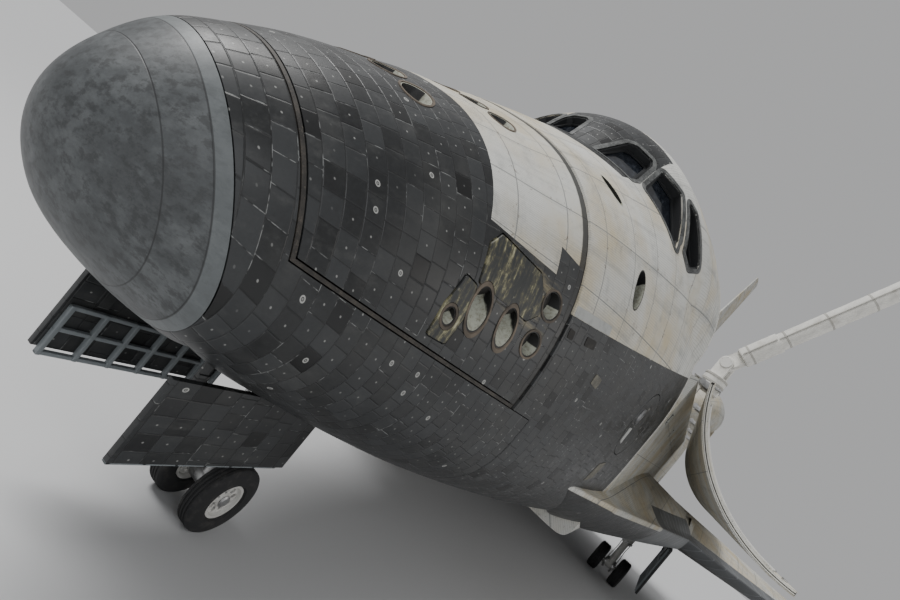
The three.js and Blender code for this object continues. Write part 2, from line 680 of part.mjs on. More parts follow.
function addWing() {
  const body = joined([foreBody(GAP), midOutline(GAP), tailBody(GAP)]);
  const bayRoom = block([STATIONS.bayFore - 1, STATIONS.bayAft + 1], [0, BAY.halfWidth - 5], TALL);
  const whole = cutBy(loft(WING.map((row) => wingRing(row))), [body, bayRoom]);
  let fixed = whole;
  for (const [name, ports] of ELEVON_SPANS) {
    const line = hingeLine(ports);
    const { start, axis } = line;
    const { moving, room } = elevon(whole, line);
    fixed = fixed.subtract(room);
    add(`elevon_${name}_left`, moving, FINISH.blackTile);
    add(`elevon_${name}_right`, mirrored(moving), FINISH.blackTile);
    hinges[`elevon_${name}_left`] = [start, axis];
    hinges[`elevon_${name}_right`] = [
      new THREE.Vector3(start.x, -start.y, start.z), new THREE.Vector3(0, axis.y, -axis.z)];
  }
  const edge = fixed.intersect(edgeRegion(-GAP));
  add("wing_edge_left", edge, FINISH.carbon);
  add("wing_edge_right", mirrored(edge), FINISH.carbon);
  const panel = cutBy(fixed, [edgeRegion(0), block(...MAIN_WELL)]);
  add("wing_left", panel, FINISH.whiteTile);
  add("wing_right", mirrored(panel), FINISH.whiteTile);
}

// Fin and rudder
function finRing([height, lead, trail, half]) {
  const side = (sign) => FIN_CHORD.map(
    ([share, part]) => at(lead + share * (trail - lead), sign * part * half, height));
  return [...side(1), ...side(-1).reverse()];
}

function finHinge(height) {
  const [, lead, trail, half] = interpolate(FIN, height);
  const [, part] = interpolate(FIN_CHORD, RUDDER.chord);
  return { point: at(lead + RUDDER.chord * (trail - lead), 0, height), half: part * half - 0.1 };
}

function addAftFuselage() {
  const hull = tailBody().subtract(tailBody(-SKIN));
  const front = block([STATIONS.bayAft - 7, STATIONS.bulkheadAft], ACROSS, TALL);
  const holes = ENGINES.map(([, station, port, height, pitch, yaw]) => {
    const gimbal = at(station, port, height);
    return rod(gimbal, gimbal.clone().addScaledVector(engineWay(pitch, yaw), 90), 29, 29, 24);
  });
  const shell = cutBy(hull, [front, ...holes]);
  add("aft_fuselage", joined([shell, both(upright(AFT_PAD, PAD_RADIUS)), flapCarrier()]), FINISH.whiteTile);
}

function finSolid() {
  const sides = [-40, 40];
  const heights = [TALL[0], 900];
  const [fore, aft] = CHUTE.stations.map((station) => at(station, 0, CHUTE.height));
  const housing = rod(fore, aft, CHUTE.radius, CHUTE.radius, 16);
  return cutBy(loft(FIN.map(finRing)).add(housing), [
    tailBody(GAP),
    block([1200, STATIONS.bayAft + 1.5], sides, heights),
    block([STATIONS.base, 1700], sides, [heights[0], STATIONS.finFoot]),
  ]);
}

function addTail() {
  const fin = finSolid();
  const [low, high] = [finHinge(RUDDER.low), finHinge(RUDDER.high)];
  const axis = high.point.clone().sub(low.point).normalize();
  const forward = new THREE.Vector3(axis.z, 0, -axis.x);
  const port = new THREE.Vector3(0, 1, 0);
  // Region behind the hinge line, between planes square to it
  const region = ([lowAhead, highAhead], stretch, [right, left]) => {
    const corners = (ahead) => [[ahead, right], [-150, right], [-150, left], [ahead, left]];
    const ring = (end, along, ahead) => corners(ahead).map(([fore, side]) => end.point.clone()
      .addScaledVector(axis, along).addScaledVector(forward, fore).addScaledVector(port, side));
    return loft([ring(low, -stretch, lowAhead), ring(high, stretch, highAhead)]);
  };
  const core = (scale, grow, stretch) => rod(
    low.point.clone().addScaledVector(axis, -stretch), high.point.clone().addScaledVector(axis, stretch),
    low.half * scale + grow, high.half * scale + grow, 24);
  const share = Math.tan(rad(RUDDER.swing / 2));
  const room = [low, high].map(({ half }) => share * half + RUDDER.clear);
  const cut = region(room, RUDDER.clear, [-40, 40]).add(core(1, RUDDER.clear, RUDDER.clear));
  add("vertical_fin", fin.subtract(cut), FINISH.whiteTile);
  add("rudder_tube", core(RUDDER.tube, 0, 0), FINISH.steel);
  // A panel's rounded front, kept to the sector beside its own skin
  const sector = (end) => {
    const spoke = (angle) => end.point.clone()
      .addScaledVector(forward, Math.cos(rad(angle)) * end.half * 2)
      .addScaledVector(port, Math.sin(rad(angle)) * end.half * 2);
    return [end.point.clone(), ...RUDDER.sector.map(spoke)];
  };
  const nose = core(1, -0.3, 0).intersect(loft([sector(low), sector(high)]));
  const skin = fin.intersect(region([0, 0], 0, [RUDDER.split, 40]));
  const leaf = skin.add(nose).subtract(core(RUDDER.tube, 0.25, 1));
  add("rudder_left", leaf, FINISH.whiteTile);
  add("rudder_right", mirrored(leaf), FINISH.whiteTile);
  hinges.rudder = [low.point, axis];
}

// Body flap and the ledge that carries it
function flapCarrier() {
  const seat = crossBar([FLAP.hinge, 0, FLAP.height], FLAP.ledge, FLAP.nose + FLAP.clear, 24);
  const ledge = block(
    [STATIONS.base - 11, FLAP.hinge - 1], [-FLAP.ledge, FLAP.ledge], [FLAP.height - 3, FLAP.height + 5.5]);
  return ledge.subtract(seat);
}

function addFlap() {
  const { hinge, height, nose, tail } = FLAP;
  const slope = nose * Math.SQRT1_2;
  const outline = [
    [hinge, height + nose], [hinge - slope, height + slope], [hinge - nose, height],
    [hinge - slope, height - slope], [hinge, height - nose],
    [tail, height - nose - 1], [tail, height - nose + 0.5],
  ];
  add("body_flap", prism(outline, "port", [-FLAP.halfWidth, FLAP.halfWidth]), FINISH.blackTile);
  hinges.body_flap = [at(hinge, 0, height), new THREE.Vector3(0, 1, 0)];
}

// Engines
function engineWay(pitch, yaw) {
  const [p, y] = [rad(pitch), rad(yaw)];
  return new THREE.Vector3(-Math.cos(p) * Math.cos(y), Math.cos(p) * Math.sin(y), Math.sin(p));
}

function bell(table, from, way) {
  const outside = table.map(([along, radius]) => [along, radius]);
  const inside = table.slice(1).map(([along, , radius]) => [along, radius]).reverse();
  return turned([[table[0][0], 0], ...outside, ...inside, [table[1][0], 0]], from, way, 20);
}

function addEngines() {
  const flat = block([STATIONS.base + GAP, STATIONS.base + 50], [-200, 200], [283, 700]);
  const [throat, mouth] = [MAIN_BELL[1][0], MAIN_BELL[MAIN_BELL.length - 1]];
  for (const [name, station, port, height, pitch, yaw] of ENGINES) {
    const way = engineWay(pitch, yaw);
    const gimbal = at(station, port, height);
    const seat = gimbal.clone().addScaledVector(way, (STATIONS.base - station) / -way.x);
    const back = SHIELD[SHIELD.length - 1][0];
    const dome = turned([[GAP, 0], ...SHIELD, [back, 0]], seat, new THREE.Vector3(-1, 0, 0), 16);
    const inner = MAIN_BELL.slice(1).map(([along, , radius]) => [along, radius]);
    const past = [[mouth[0] + 13, mouth[1]], [mouth[0] + 13, 0]];
    const hollow = turned([[throat, 0], ...inner, ...past], gimbal, way, 20);
    const engine = bell(MAIN_BELL, gimbal, way).add(dome.intersect(flat)).subtract(hollow);
    add(name, engine, FINISH.nozzle);
  }
}

function addPods() {
  const ring = ([station, port, height, across, up]) => Array.from({ length: POD_SIDES }, (_, i) => {
    const angle = (i / POD_SIDES) * 2 * Math.PI;
    return at(station, port + Math.cos(angle) * across, height + Math.sin(angle) * up);
  });
  const widened = (points) => points.map((p) => p.clone().setY(p.y * 1.4 + Math.sign(p.y) * 2));
  const fin = loft(FIN.map(finRing).map(widened));
  const besideFin = block([1300, 1560], [-10, 34], [400, 600]);
  const { station, port, height, pitch, yaw } = POD_NOZZLE;
  const way = engineWay(pitch, yaw);
  const gimbal = at(station, port, height);
  const start = POD_BELL[0][0];
  const recess = rod(
    gimbal.clone().addScaledVector(way, start - GAP), gimbal.clone().addScaledVector(way, 60), 12, 26, 24);
  const { first, pitch: step, count, height: level, face, deep, radius } = STINGER_THRUSTERS;
  const thrusters = Array.from({ length: count }, (_, k) =>
    crossBar([first + k * step, face, level], deep, radius, 12));
  const body = cutBy(
    loft(POD.map(ring)).add(block(...STINGER)), [tailBody(GAP), fin, besideFin, recess, ...thrusters]);
  const nozzle = bell(POD_BELL, gimbal, way);
  add("pod_left", body, FINISH.blanket);
  add("pod_right", mirrored(body), FINISH.blanket);
  add("pod_nozzle_left", nozzle, FINISH.nozzle);
  add("pod_nozzle_right", mirrored(nozzle), FINISH.nozzle);
}

// Landing gear
const groundAt = (station) => GROUND.height - Math.tan(rad(PARK_PITCH)) * (station - GROUND.station);

// The tyres' flats: one lies level on the floor
const TYRE_SIDES = 26;
const TYRE_START = Math.PI - rad(PARK_PITCH) + Math.PI / TYRE_SIDES;
const axleHeight = ({ station, tyreRadius }) =>
  groundAt(station) + (tyreRadius * Math.cos(Math.PI / TYRE_SIDES)) / Math.cos(rad(PARK_PITCH));

function wheelPair({ tyreRadius, tyreWidth, spread, hub }, axle, bore) {
  const roll = tyreWidth / 2;
  const shift = (side, along) => axle.clone().add(new THREE.Vector3(0, side * along, 0));
  const tyre = (side) => turned([
    [-roll * 0.62, bore], [-roll * 0.62, hub], [-roll, hub + 2], [-roll, tyreRadius * 0.82],
    [-roll * 0.6, tyreRadius], [roll * 0.6, tyreRadius], [roll, tyreRadius * 0.82],
    [roll, hub + 2], [roll * 0.62, hub], [roll * 0.62, bore], [-roll * 0.62, bore],
  ], shift(side, spread / 2), new THREE.Vector3(0, 1, 0), TYRE_SIDES, TYRE_START);
  const half = spread / 2 + roll * 0.8;
  return joined([tyre(-1), tyre(1), rod(shift(-1, half), shift(1, half), bore + 0.4, bore + 0.4, 16)]);
}

const bars = (table) => joined(table.map(
  ([from, to, radius, sides]) => rod(at(...from), at(...to), radius, radius, sides)));

function addNoseGear() {
  const { station } = NOSE_GEAR;
  const axle = at(station, 0, axleHeight(NOSE_GEAR));
  const hub = [station, 0, axle.z];
  const socket = upright([station, 0, TALL[0], NOSE_FORK.socket], NOSE_FORK.socketRadius);
  add("nose_gear_leg", bars(NOSE_LEG).subtract(socket), FINISH.paint);
  const fork = joined([
    upright([station, 0, axle.z, NOSE_FORK.pistonTop], NOSE_FORK.piston),
    crossBar(hub, NOSE_AXLE.half, NOSE_AXLE.radius, 16),
    upright([station, 0, ...NOSE_FORK.collar], NOSE_FORK.collarRadius),
  ]);
  add("nose_steering_fork", fork.subtract(crossBar(hub, NOSE_AXLE.half + 1, NOSE_AXLE.eye)), FINISH.steel);
  add("nose_wheels", wheelPair(NOSE_GEAR, axle, NOSE_AXLE.rod), FINISH.tyre);
  hinges.nose_steering = [at(station, 0, STEERING_HEIGHT), new THREE.Vector3(0, 0, 1)];
  hinges.nose_wheels = [axle, new THREE.Vector3(0, 1, 0)];

  const { stations, faces, deep, lip, arms, arm } = NOSE_DOOR;
  const [, , bottom] = interpolate(HULL, (stations[0] + stations[1]) / 2 + 8);
  const plate = block(stations, faces, [bottom - deep, bottom + lip]);
  const hangers = arms.map((fore) => block([fore, fore + arm], [23, 24.6], [bottom - 6, bottom + 20]));
  const inSkin = block([280, 400], [23.9, 40], [bottom + 6, 340]);
  const solidNose = foreBody(GAP).subtract(block(...NOSE_WELL));
  const leaf = cutBy(joined([plate, ...hangers]), [inSkin, solidNose]);
  add("nose_gear_door_left", leaf, FINISH.blackTile);
  add("nose_gear_door_right", mirrored(leaf), FINISH.blackTile);
}

function addMainGear() {
  const { station, port } = MAIN_GEAR;
  const axle = at(station, port, axleHeight(MAIN_GEAR));
  const hub = [station, port, axle.z];
  const leg = joined([
    bars(MAIN_LEG),
    upright([station, port, axle.z, MAIN_AXLE.pistonTop], MAIN_AXLE.piston),
    crossBar(hub, MAIN_AXLE.half, MAIN_AXLE.radius, 16),
  ]).subtract(crossBar(hub, MAIN_AXLE.half + 1, MAIN_AXLE.eye));
  add("main_gear_leg_left", leg, FINISH.paint);
  add("main_gear_leg_right", mirrored(leg), FINISH.paint);
  const pair = wheelPair(MAIN_GEAR, axle, MAIN_AXLE.rod);
  add("main_wheels_left", pair, FINISH.tyre);
  add("main_wheels_right", mirrored(pair), FINISH.tyre);
  hinges.main_wheels_left = [axle, new THREE.Vector3(0, 1, 0)];
  hinges.main_wheels_right = [new THREE.Vector3(axle.x, -axle.y, axle.z), new THREE.Vector3(0, 1, 0)];
  const { stations, width, across, heights } = MAIN_DOOR_ARMS;
  const hangers = stations.map((fore) => block([fore, fore + width], across, heights));
  const inWing = block([1000, 1300], [MAIN_WELL[1][1] - GAP, 200], [MAIN_DOOR[2][1], 340]);
  const door = joined([block(...MAIN_DOOR), ...hangers]).subtract(inWing);
  add("main_gear_door_left", door, FINISH.blackTile);
  add("main_gear_door_right", mirrored(door), FINISH.blackTile);
}

// Arm: a fork on each outer end, a tongue on each inner end
function clevis(pivot, way, axis, radius) {
  const across = new THREE.Vector3().crossVectors(way, axis).normalize();
  const [inner, outside, size] = [radius * 0.46, radius * 0.82, radius * 0.62];
  const box = (from, to, low, high) => {
    const corners = [[low, -size], [high, -size], [high, size], [low, size]];
    const ring = (along) => corners.map(([a, c]) => pivot.clone()
      .addScaledVector(way, along).addScaledVector(axis, a).addScaledVector(across, c));
    return loft([ring(from), ring(to)]);
  };
  const round = (low, high) => rod(
    pivot.clone().addScaledVector(axis, low), pivot.clone().addScaledVector(axis, high), size, size, 12);
  const cheek = (low, high) => box(-ARM.lug - 1, 0, low, high).add(round(low, high));
  const thin = inner - ARM.play;
  return {
    fork: cheek(inner, outside).add(cheek(-outside, -inner)),
    tongue: box(0, ARM.lug + 1, -thin, thin).add(round(-thin, thin)),
  };
}

// The arm's own directions: along the booms, about their hinges and out to the side of a boom
function armLines() {
  const up = new THREE.Vector3(0, 0, 1);
  const heading = new THREE.Vector3(Math.cos(rad(ARM.heading)), Math.sin(rad(ARM.heading)), 0);
  const way = heading.clone().multiplyScalar(Math.cos(rad(ARM.lean)));
  way.addScaledVector(up, Math.sin(rad(ARM.lean)));
  const axis = new THREE.Vector3().crossVectors(way, heading).normalize();
  const under = new THREE.Vector3().crossVectors(axis, way).normalize();
  return { up, way, axis, under };
}

function addArm() {
  const { up, way, axis, under } = armLines();
  const along = (point, distance, drop = 0) =>
    point.clone().addScaledVector(way, distance).addScaledVector(under, drop);
  const boom = (from, to) => rod(from, to, ARM.radius, ARM.radius, 12);
  const { station, port } = ARM;
  const around = [station - 8, station + 8];
  add("arm_pedestal", joined([
    block(...ARM_FOOT),
    block(around, [96, 116], [ARM.shelf - 1, ARM.shelf + 4]),
    upright([station, port, ARM.shelf, ARM.seat], ARM.drum),
  ]), FINISH.paint);

  const pivot = at(station, port, ARM.shoulder);
  const housing = upright([station, port, ARM.seat + GAP, ARM.shoulder - ARM.lug], ARM.drum, 16);
  add("arm_shoulder", housing.add(clevis(pivot, up, axis, ARM.root).fork), FINISH.paint);
  hinges.arm_shoulder = [at(station, port, ARM.seat), up];

  // The elbow's hinge lies beside the booms' line, on a bracket of each boom
  const elbowLine = along(pivot, ARM.upper);
  const elbow = along(elbowLine, 0, ARM.offset);
  const bend = clevis(elbow, way, axis, ARM.radius);
  const knee = ARM.radius * 0.82;
  const bracket = (from, to) => {
    const top = ARM.offset - ARM.relief;
    const corners = [[-2, -knee], [top, -knee], [top, knee], [-2, knee]];
    const ring = (distance) => corners.map(
      ([drop, side]) => along(elbowLine, distance, drop).addScaledVector(axis, side));
    return loft([ring(from), ring(to)]);
  };
  const upperBoom = joined([
    clevis(pivot, way, axis, ARM.root).tongue,
    rod(along(pivot, ARM.lug), along(pivot, ARM.rootLength), ARM.radius + 1),
    boom(along(pivot, ARM.lug), along(elbowLine, 4 - ARM.lug)),
    bend.fork, bracket(-ARM.lug - 5, 1 - ARM.lug),
  ]);
  add("arm_upper_boom", upperBoom, FINISH.paint);
  hinges.arm_upper = [pivot, axis];

  const wristPitch = along(elbowLine, ARM.lower);
  const pitchJoint = clevis(wristPitch, way, axis, ARM.radius);
  const lowerBoom = joined([
    bend.tongue, bracket(ARM.lug - 1, ARM.lug + 5),
    boom(along(elbowLine, ARM.lug - 4), along(wristPitch, -ARM.lug)), pitchJoint.fork,
  ]);
  add("arm_lower_boom", lowerBoom, FINISH.paint);
  hinges.arm_lower = [elbow, axis];

  const wristYaw = along(wristPitch, ARM.wristYaw);
  const yawJoint = clevis(wristYaw, way, under, ARM.radius);
  const wrist = boom(along(wristPitch, ARM.lug), along(wristYaw, -ARM.lug));
  add("arm_wrist_pitch", joined([pitchJoint.tongue, wrist, yawJoint.fork]), FINISH.paint);
  hinges.arm_wrist_pitch = [wristPitch, axis];

  const rollFace = along(wristYaw, ARM.rollFace);
  add("arm_wrist_yaw", yawJoint.tongue.add(boom(along(wristYaw, ARM.lug), rollFace)), FINISH.paint);
  hinges.arm_wrist_yaw = [wristYaw, under];

  const tip = along(rollFace, ARM.tip);
  const can = rod(along(rollFace, GAP), tip, ARM.can, ARM.can, 16);
  const socket = rod(along(tip, -10), along(tip, 1), ARM.socket, ARM.socket, 12);
  add("arm_end_effector", can.subtract(socket), FINISH.paint);
  hinges.arm_end_effector = [rollFace, way];
}

function addDish() {
  const { station, port, base, height, reach, inboard } = DISH;
  const centre = at(station + reach, port + inboard, height);
  const profile = [[-3, 0], [-3, 6], [0.5, DISH.radius], [2, DISH.radius], [-1, 5], [-1, 0]];
  const bowl = turned(profile, centre, new THREE.Vector3(0, 1, 0), 24);
  const aft = station + reach;
  const box = block([aft - 8, aft + 8], [centre.y - 9, centre.y - 2.5], [height - 7, height + 7]);
  const mast = rod(at(station, port, height - 3), at(aft, centre.y - 6, height - 3), 2, 2, 12);
  const stem = upright([station, port, base, height], 3, 16);
  add("dish_antenna", joined([stem, mast, bowl, box]), FINISH.paint);
  hinges.dish_antenna = [at(station, port, base), new THREE.Vector3(0, 0, -1)];
}

addNose();
addCabin();
addBay();
addDoors();
addWing();
addAftFuselage();
addTail();
addFlap();
addEngines();
addPods();
addNoseGear();
addMainGear();
addArm();
addDish();

// Node meshes in the airframe, then the airframe pitched onto its wheels
function meshOf({ name, solid, material }) {
  const { vertProperties, triVerts, numProp } = solid.getMesh();
  const geometry = new THREE.BufferGeometry();
  const positions = new Float32Array((vertProperties.length / numProp) * 3);
  for (let i = 0; i < positions.length / 3; i++) {
    positions.set(vertProperties.subarray(i * numProp, i * numProp + 3), i * 3);
  }
  geometry.setAttribute("position", new THREE.BufferAttribute(positions, 3));
  geometry.setIndex(Array.from(triVerts));
  const mesh = new THREE.Mesh(geometry, material);
  mesh.name = name;
  return mesh;
}

const airframe = new THREE.Group();
airframe.add(...nodes.map(meshOf));
airframe.userData.hinges = hinges;
airframe.scale.setScalar(INCH);
airframe.rotation.y = rad(PARK_PITCH);

// The origin is under the middle of the whole, on the floor
airframe.updateMatrixWorld(true);
const extent = new THREE.Box3().setFromObject(airframe, true);
airframe.position.set(-(extent.min.x + extent.max.x) / 2, 0, -extent.min.z);

const orbiter = new THREE.Group();
orbiter.add(airframe);
export default orbiter;
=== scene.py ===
import math
import random
import bpy
from mathutils import Matrix, Vector


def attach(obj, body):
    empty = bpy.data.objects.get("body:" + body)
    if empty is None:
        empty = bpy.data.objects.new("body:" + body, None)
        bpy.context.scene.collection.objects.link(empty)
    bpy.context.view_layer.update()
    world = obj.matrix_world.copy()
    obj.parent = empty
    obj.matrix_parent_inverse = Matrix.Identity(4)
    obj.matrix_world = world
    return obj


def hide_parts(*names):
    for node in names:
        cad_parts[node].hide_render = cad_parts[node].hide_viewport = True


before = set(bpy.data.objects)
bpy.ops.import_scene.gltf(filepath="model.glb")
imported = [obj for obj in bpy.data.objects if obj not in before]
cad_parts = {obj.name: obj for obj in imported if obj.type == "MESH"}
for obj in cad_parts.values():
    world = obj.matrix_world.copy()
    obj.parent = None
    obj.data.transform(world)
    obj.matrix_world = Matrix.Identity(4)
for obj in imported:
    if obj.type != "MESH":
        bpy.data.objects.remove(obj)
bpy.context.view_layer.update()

bpy.ops.object.select_all(action="DESELECT")
chance = random.Random(7)
print("frame loaded")

# The airframe is modelled in inches: x forward of station 900, y port, z up.
# It stands nose down on its gear, so every piece is settled into the row frame by one matrix.
airframe = {"inch": 0.0254, "datum": 900.0, "pitch": math.radians(3.605), "forward": 0.8634, "up": -4.7439}
toRow = (Matrix.Translation((airframe["forward"], 0, airframe["up"]))
         @ Matrix.Rotation(airframe["pitch"], 4, "Y") @ Matrix.Scale(airframe["inch"], 4))


forward, across, upward = Vector((1, 0, 0)), Vector((0, 1, 0)), Vector((0, 0, 1))


def at(station, port, height):
    return Vector((airframe["datum"] - station, port, height))


# Angles evenly spaced round a circle
def turns(count, shift=0.0):
    return [2 * math.pi * (k + shift) / count for k in range(count)]



# Shader maths reads as plain expressions on wrapped sockets
class Value:
    def __init__(self, finish, socket):
        self.finish = finish
        self.socket = socket

    def calc(self, operation, *others):
        return self.finish.node("ShaderNodeMath", {"operation": operation}, [self, *others])

    def turned(self, operation, other):
        return self.finish.node("ShaderNodeMath", {"operation": operation}, [other, self])

    def __add__(self, other):
        return self.calc("ADD", other)

    def __radd__(self, other):
        return self.turned("ADD", other)

    def __sub__(self, other):
        return self.calc("SUBTRACT", other)

    def __rsub__(self, other):
        return self.turned("SUBTRACT", other)

    def __mul__(self, other):
        return self.calc("MULTIPLY", other)

    def __rmul__(self, other):
        return self.turned("MULTIPLY", other)

    def __truediv__(self, other):
        return self.calc("DIVIDE", other)

    def __abs__(self):
        return self.calc("ABSOLUTE")

    def floor(self):
        return self.calc("FLOOR")

    def fraction(self):
        return self.calc("FRACT")

    def above(self, limit):
        return self.calc("GREATER_THAN", limit)

    def below(self, limit):
        return self.calc("LESS_THAN", limit)

    # 0 under low, 1 over high, smooth between
    def ease(self, low, high):
        return self.finish.node(
            "ShaderNodeMapRange", {"interpolation_type": "SMOOTHSTEP", "clamp": True},
            [self, low, high, 0.0, 1.0])


# The nodes of one material
class Finish:
    def __init__(self, name, roughness=0.5, metallic=0.0, **fixed):
        self.material = bpy.data.materials.new(name)
        self.material.use_nodes = True
        self.tree = self.material.node_tree
        self.shader = self.tree.nodes["Principled BSDF"]
        self.feed(self.shader.inputs["Roughness"], roughness)
        self.feed(self.shader.inputs["Metallic"], metallic)
        for key, value in fixed.items():
            self.feed(self.shader.inputs[key.replace("_", " ")], value)

    def feed(self, socket, value):
        if isinstance(value, Value):
            self.tree.links.new(value.socket, socket)
        elif isinstance(value, tuple) and len(value) == 3 and socket.type == "RGBA":
            socket.default_value = (*value, 1.0)
        else:
            socket.default_value = value

    def node(self, kind, settings=None, values=(), output=0):
        made = self.tree.nodes.new(kind)
        for key, value in (settings or {}).items():
            if key == "stops":
                ramp = made.color_ramp.elements
                for end in (0, -1):
                    ramp[end].position = value[end][0]
                    ramp[end].color = (*value[end][1], 1)
                for place, tint in value[1:-1]:
                    ramp.new(place).color = (*tint, 1)
            else:
                setattr(made, key, value)
        for key, value in (values.items() if isinstance(values, dict) else enumerate(values)):
            self.feed(made.inputs[key], value)
        return Value(self, made.outputs[output])

    def mix(self, share, first, second):
        return self.node("ShaderNodeMix", {"data_type": "RGBA"}, {0: share, 6: first, 7: second}, 2)

    # Airframe inches from the piece's own coordinates
    def place(self):
        here = self.node("ShaderNodeTexCoord", {}, (), "Object")
        size = airframe["inch"]
        return self.node("ShaderNodeMapping", {"vector_type": "TEXTURE"}, [
            here, (airframe["forward"], 0, airframe["up"]), (0, airframe["pitch"], 0), (size, size, size)])

    def parts(self, vector):
        return [self.node("ShaderNodeSeparateXYZ", {}, [vector], k) for k in range(3)]

    def vector(self, x, y, z):
        return self.node("ShaderNodeCombineXYZ", {}, [x, y, z])

    def noise(self, vector, scale, detail=4.0, rough=0.55):
        return self.node("ShaderNodeTexNoise", {}, {
            "Vector": vector, "Scale": scale, "Detail": detail, "Roughness": rough})

    def dice(self, x, y, z=0.0, output="Value"):
        return self.node("ShaderNodeTexWhiteNoise", {"noise_dimensions": "3D"}, [self.vector(x, y, z)],
                         output)

    def bump(self, height, distance, strength=1.0, normal=None):
        values = {"Strength": strength, "Distance": distance, "Height": height}
        if normal:
            values["Normal"] = normal
        return self.node("ShaderNodeBump", {}, values)

    def wear(self, colour=None, roughness=None, normal=None, metallic=None):
        for key, value in (("Base Color", colour), ("Roughness", roughness), ("Normal", normal),
                           ("Metallic", metallic)):
            if value is not None:
                self.feed(self.shader.inputs[key], value)
        return self.material

    # Wear with the relief of tiles and blankets
    def tiled(self, colour, roughness, height):
        return self.wear(colour, roughness, self.bump(height, tileLook["relief"], 0.8))


# Square tiles in rows: distance to the nearest joint, distance from the middle, and two chances per tile
def tileGrid(f, along, across, size, seed):
    row = (along / size).floor()
    offset = f.dice(row, seed)
    column = across / size + offset
    u = abs((along / size).fraction() - 0.5)
    v = abs(column.fraction() - 0.5)
    cell = f.dice(row, column.floor(), seed, "Color")
    first, second, third = f.parts(cell)
    joint = (0.5 - u.calc("MAXIMUM", v)) * size
    middle = (u * u + v * v).calc("SQRT") * size
    return {"joint": joint, "middle": middle, "first": first, "second": second, "third": third}


tileLook = {"size": 6.1, "relief": 0.0035, "dark": 0.009, "spread": 0.02, "joint": 0.14, "dot": 0.3,
            "newShare": 0.94,
            "chalk": (0.26, 0.265, 0.26), "dust": (0.1, 0.1, 0.094)}


# Dark glassy tiles with pale dust, chalk marks at the joints, small dots, and a few newer ones
def darkTiles(f, here, tiles):
    x, y, z = f.parts(here)
    look = tileLook
    dusty = f.noise(here, 0.03, 6.0, 0.62).ease(0.46, 0.72)
    streak = f.noise(f.vector(x * 0.035, y * 0.3, z * 0.3), 1.0, 5.0, 0.65).ease(0.5, 0.75)
    fine = f.noise(here, 0.9, 5.0, 0.7)
    newer = tiles["second"].above(look["newShare"])
    shade = look["dark"] + tiles["first"] * look["spread"] + (fine - 0.5) * 0.02
    shade = shade * (1 - newer * 0.75)
    colour = f.mix(shade, (0, 0, 0), (0.93, 1.0, 1.06))
    haze = (dusty * 0.26 + streak * 0.42 * fine) * (1 - newer)
    colour = f.mix(haze, colour, look["dust"])
    joint = 1 - tiles["joint"].ease(look["joint"] * 0.35, look["joint"])
    marked = f.noise(here, 0.085, 2.0, 0.5).ease(0.55, 0.62) * f.noise(here, 0.5, 2.0).ease(0.4, 0.6)
    colour = f.mix(joint * 0.75, colour, (0.004, 0.004, 0.004))
    colour = f.mix(joint * marked * 0.8, colour, look["chalk"])
    dot = (1 - tiles["middle"].ease(look["dot"] * 0.6, look["dot"] * 1.2)) * tiles["third"].ease(0.25, 0.6)
    ring = (1 - abs(tiles["middle"] - 0.62).ease(0.1, 0.24)) * tiles["third"].above(0.955)
    colour = f.mix((dot * 0.55).calc("MAXIMUM", ring * 0.9), colour, (0.42, 0.42, 0.4))
    rough = 0.3 + tiles["first"] * 0.12 + haze * 0.5 + fine * 0.12
    height = tiles["joint"].ease(0.0, 0.34) + fine * 0.12 + tiles["first"] * 0.25
    return colour, rough, height


blanketLook = {"stripe": 1.16, "panel": 27.0, "band": 31.0, "white": (0.55, 0.55, 0.52),
               "cream": (0.5, 0.43, 0.29),
               "grey": (0.2, 0.205, 0.2), "stain": (0.12, 0.085, 0.055)}


# Pale quilted blankets and white tiles: fine stitched rows, panel seams, speckles and runs of dirt
def paleQuilt(f, here, along, across):
    look = blanketLook
    soft = f.noise(here, 0.018, 5.0, 0.6)
    fine = f.noise(here, 1.3, 4.0, 0.7)
    runs = f.noise(f.vector(along * 0.012, across * 0.16, 0.0), 1.0, 6.0, 0.68).ease(0.48, 0.8)
    colour = f.mix(soft.ease(0.38, 0.68), look["white"], look["cream"])
    colour = f.mix(runs * 0.7, colour, look["grey"])
    grime = f.noise(here, 0.07, 6.0, 0.72).ease(0.5, 0.78)
    colour = f.mix(grime * 0.6, colour, look["grey"])
    rust = f.noise(f.vector(along * 0.05, across * 0.02, 4.0), 1.0, 6.0, 0.7).ease(0.6, 0.75)
    colour = f.mix(rust * 0.5, colour, look["stain"])
    stripe = abs((across / look["stripe"]).fraction() - 0.5) * 2.0
    groove = 1 - stripe.ease(0.0, 0.4)
    patch = f.dice((along / look["panel"]).floor(), (across / look["band"]).floor(), 3.0)
    quilted = patch.above(0.3)
    colour = f.mix(groove * quilted * 0.42, colour, look["grey"])
    alongSeam = abs((along / look["panel"]).fraction() - 0.5) * look["panel"]
    acrossSeam = abs((across / look["band"]).fraction() - 0.5) * look["band"]
    seam = 1 - alongSeam.calc("MINIMUM", acrossSeam).ease(0.12, 0.42)
    near = 1 - alongSeam.calc("MINIMUM", acrossSeam).ease(0.5, 4.0)
    speckle = f.noise(here, 0.55, 3.0, 0.6).ease(0.6, 0.72) * near
    colour = f.mix((patch - 0.5) * 0.3, colour, (0.8, 0.79, 0.74))
    colour = f.mix(seam * 0.85, colour, look["grey"])
    colour = f.mix(speckle * 0.75, colour, look["stain"])
    specks = f.noise(here, 1.7, 3.0, 0.6).ease(0.66, 0.74)
    colour = f.mix(specks * 0.7, colour, look["stain"])
    height = (1 - groove * quilted * 0.5) - seam * 0.8 + fine * 0.25
    rough = 0.72 + fine * 0.2
    return colour, rough, height


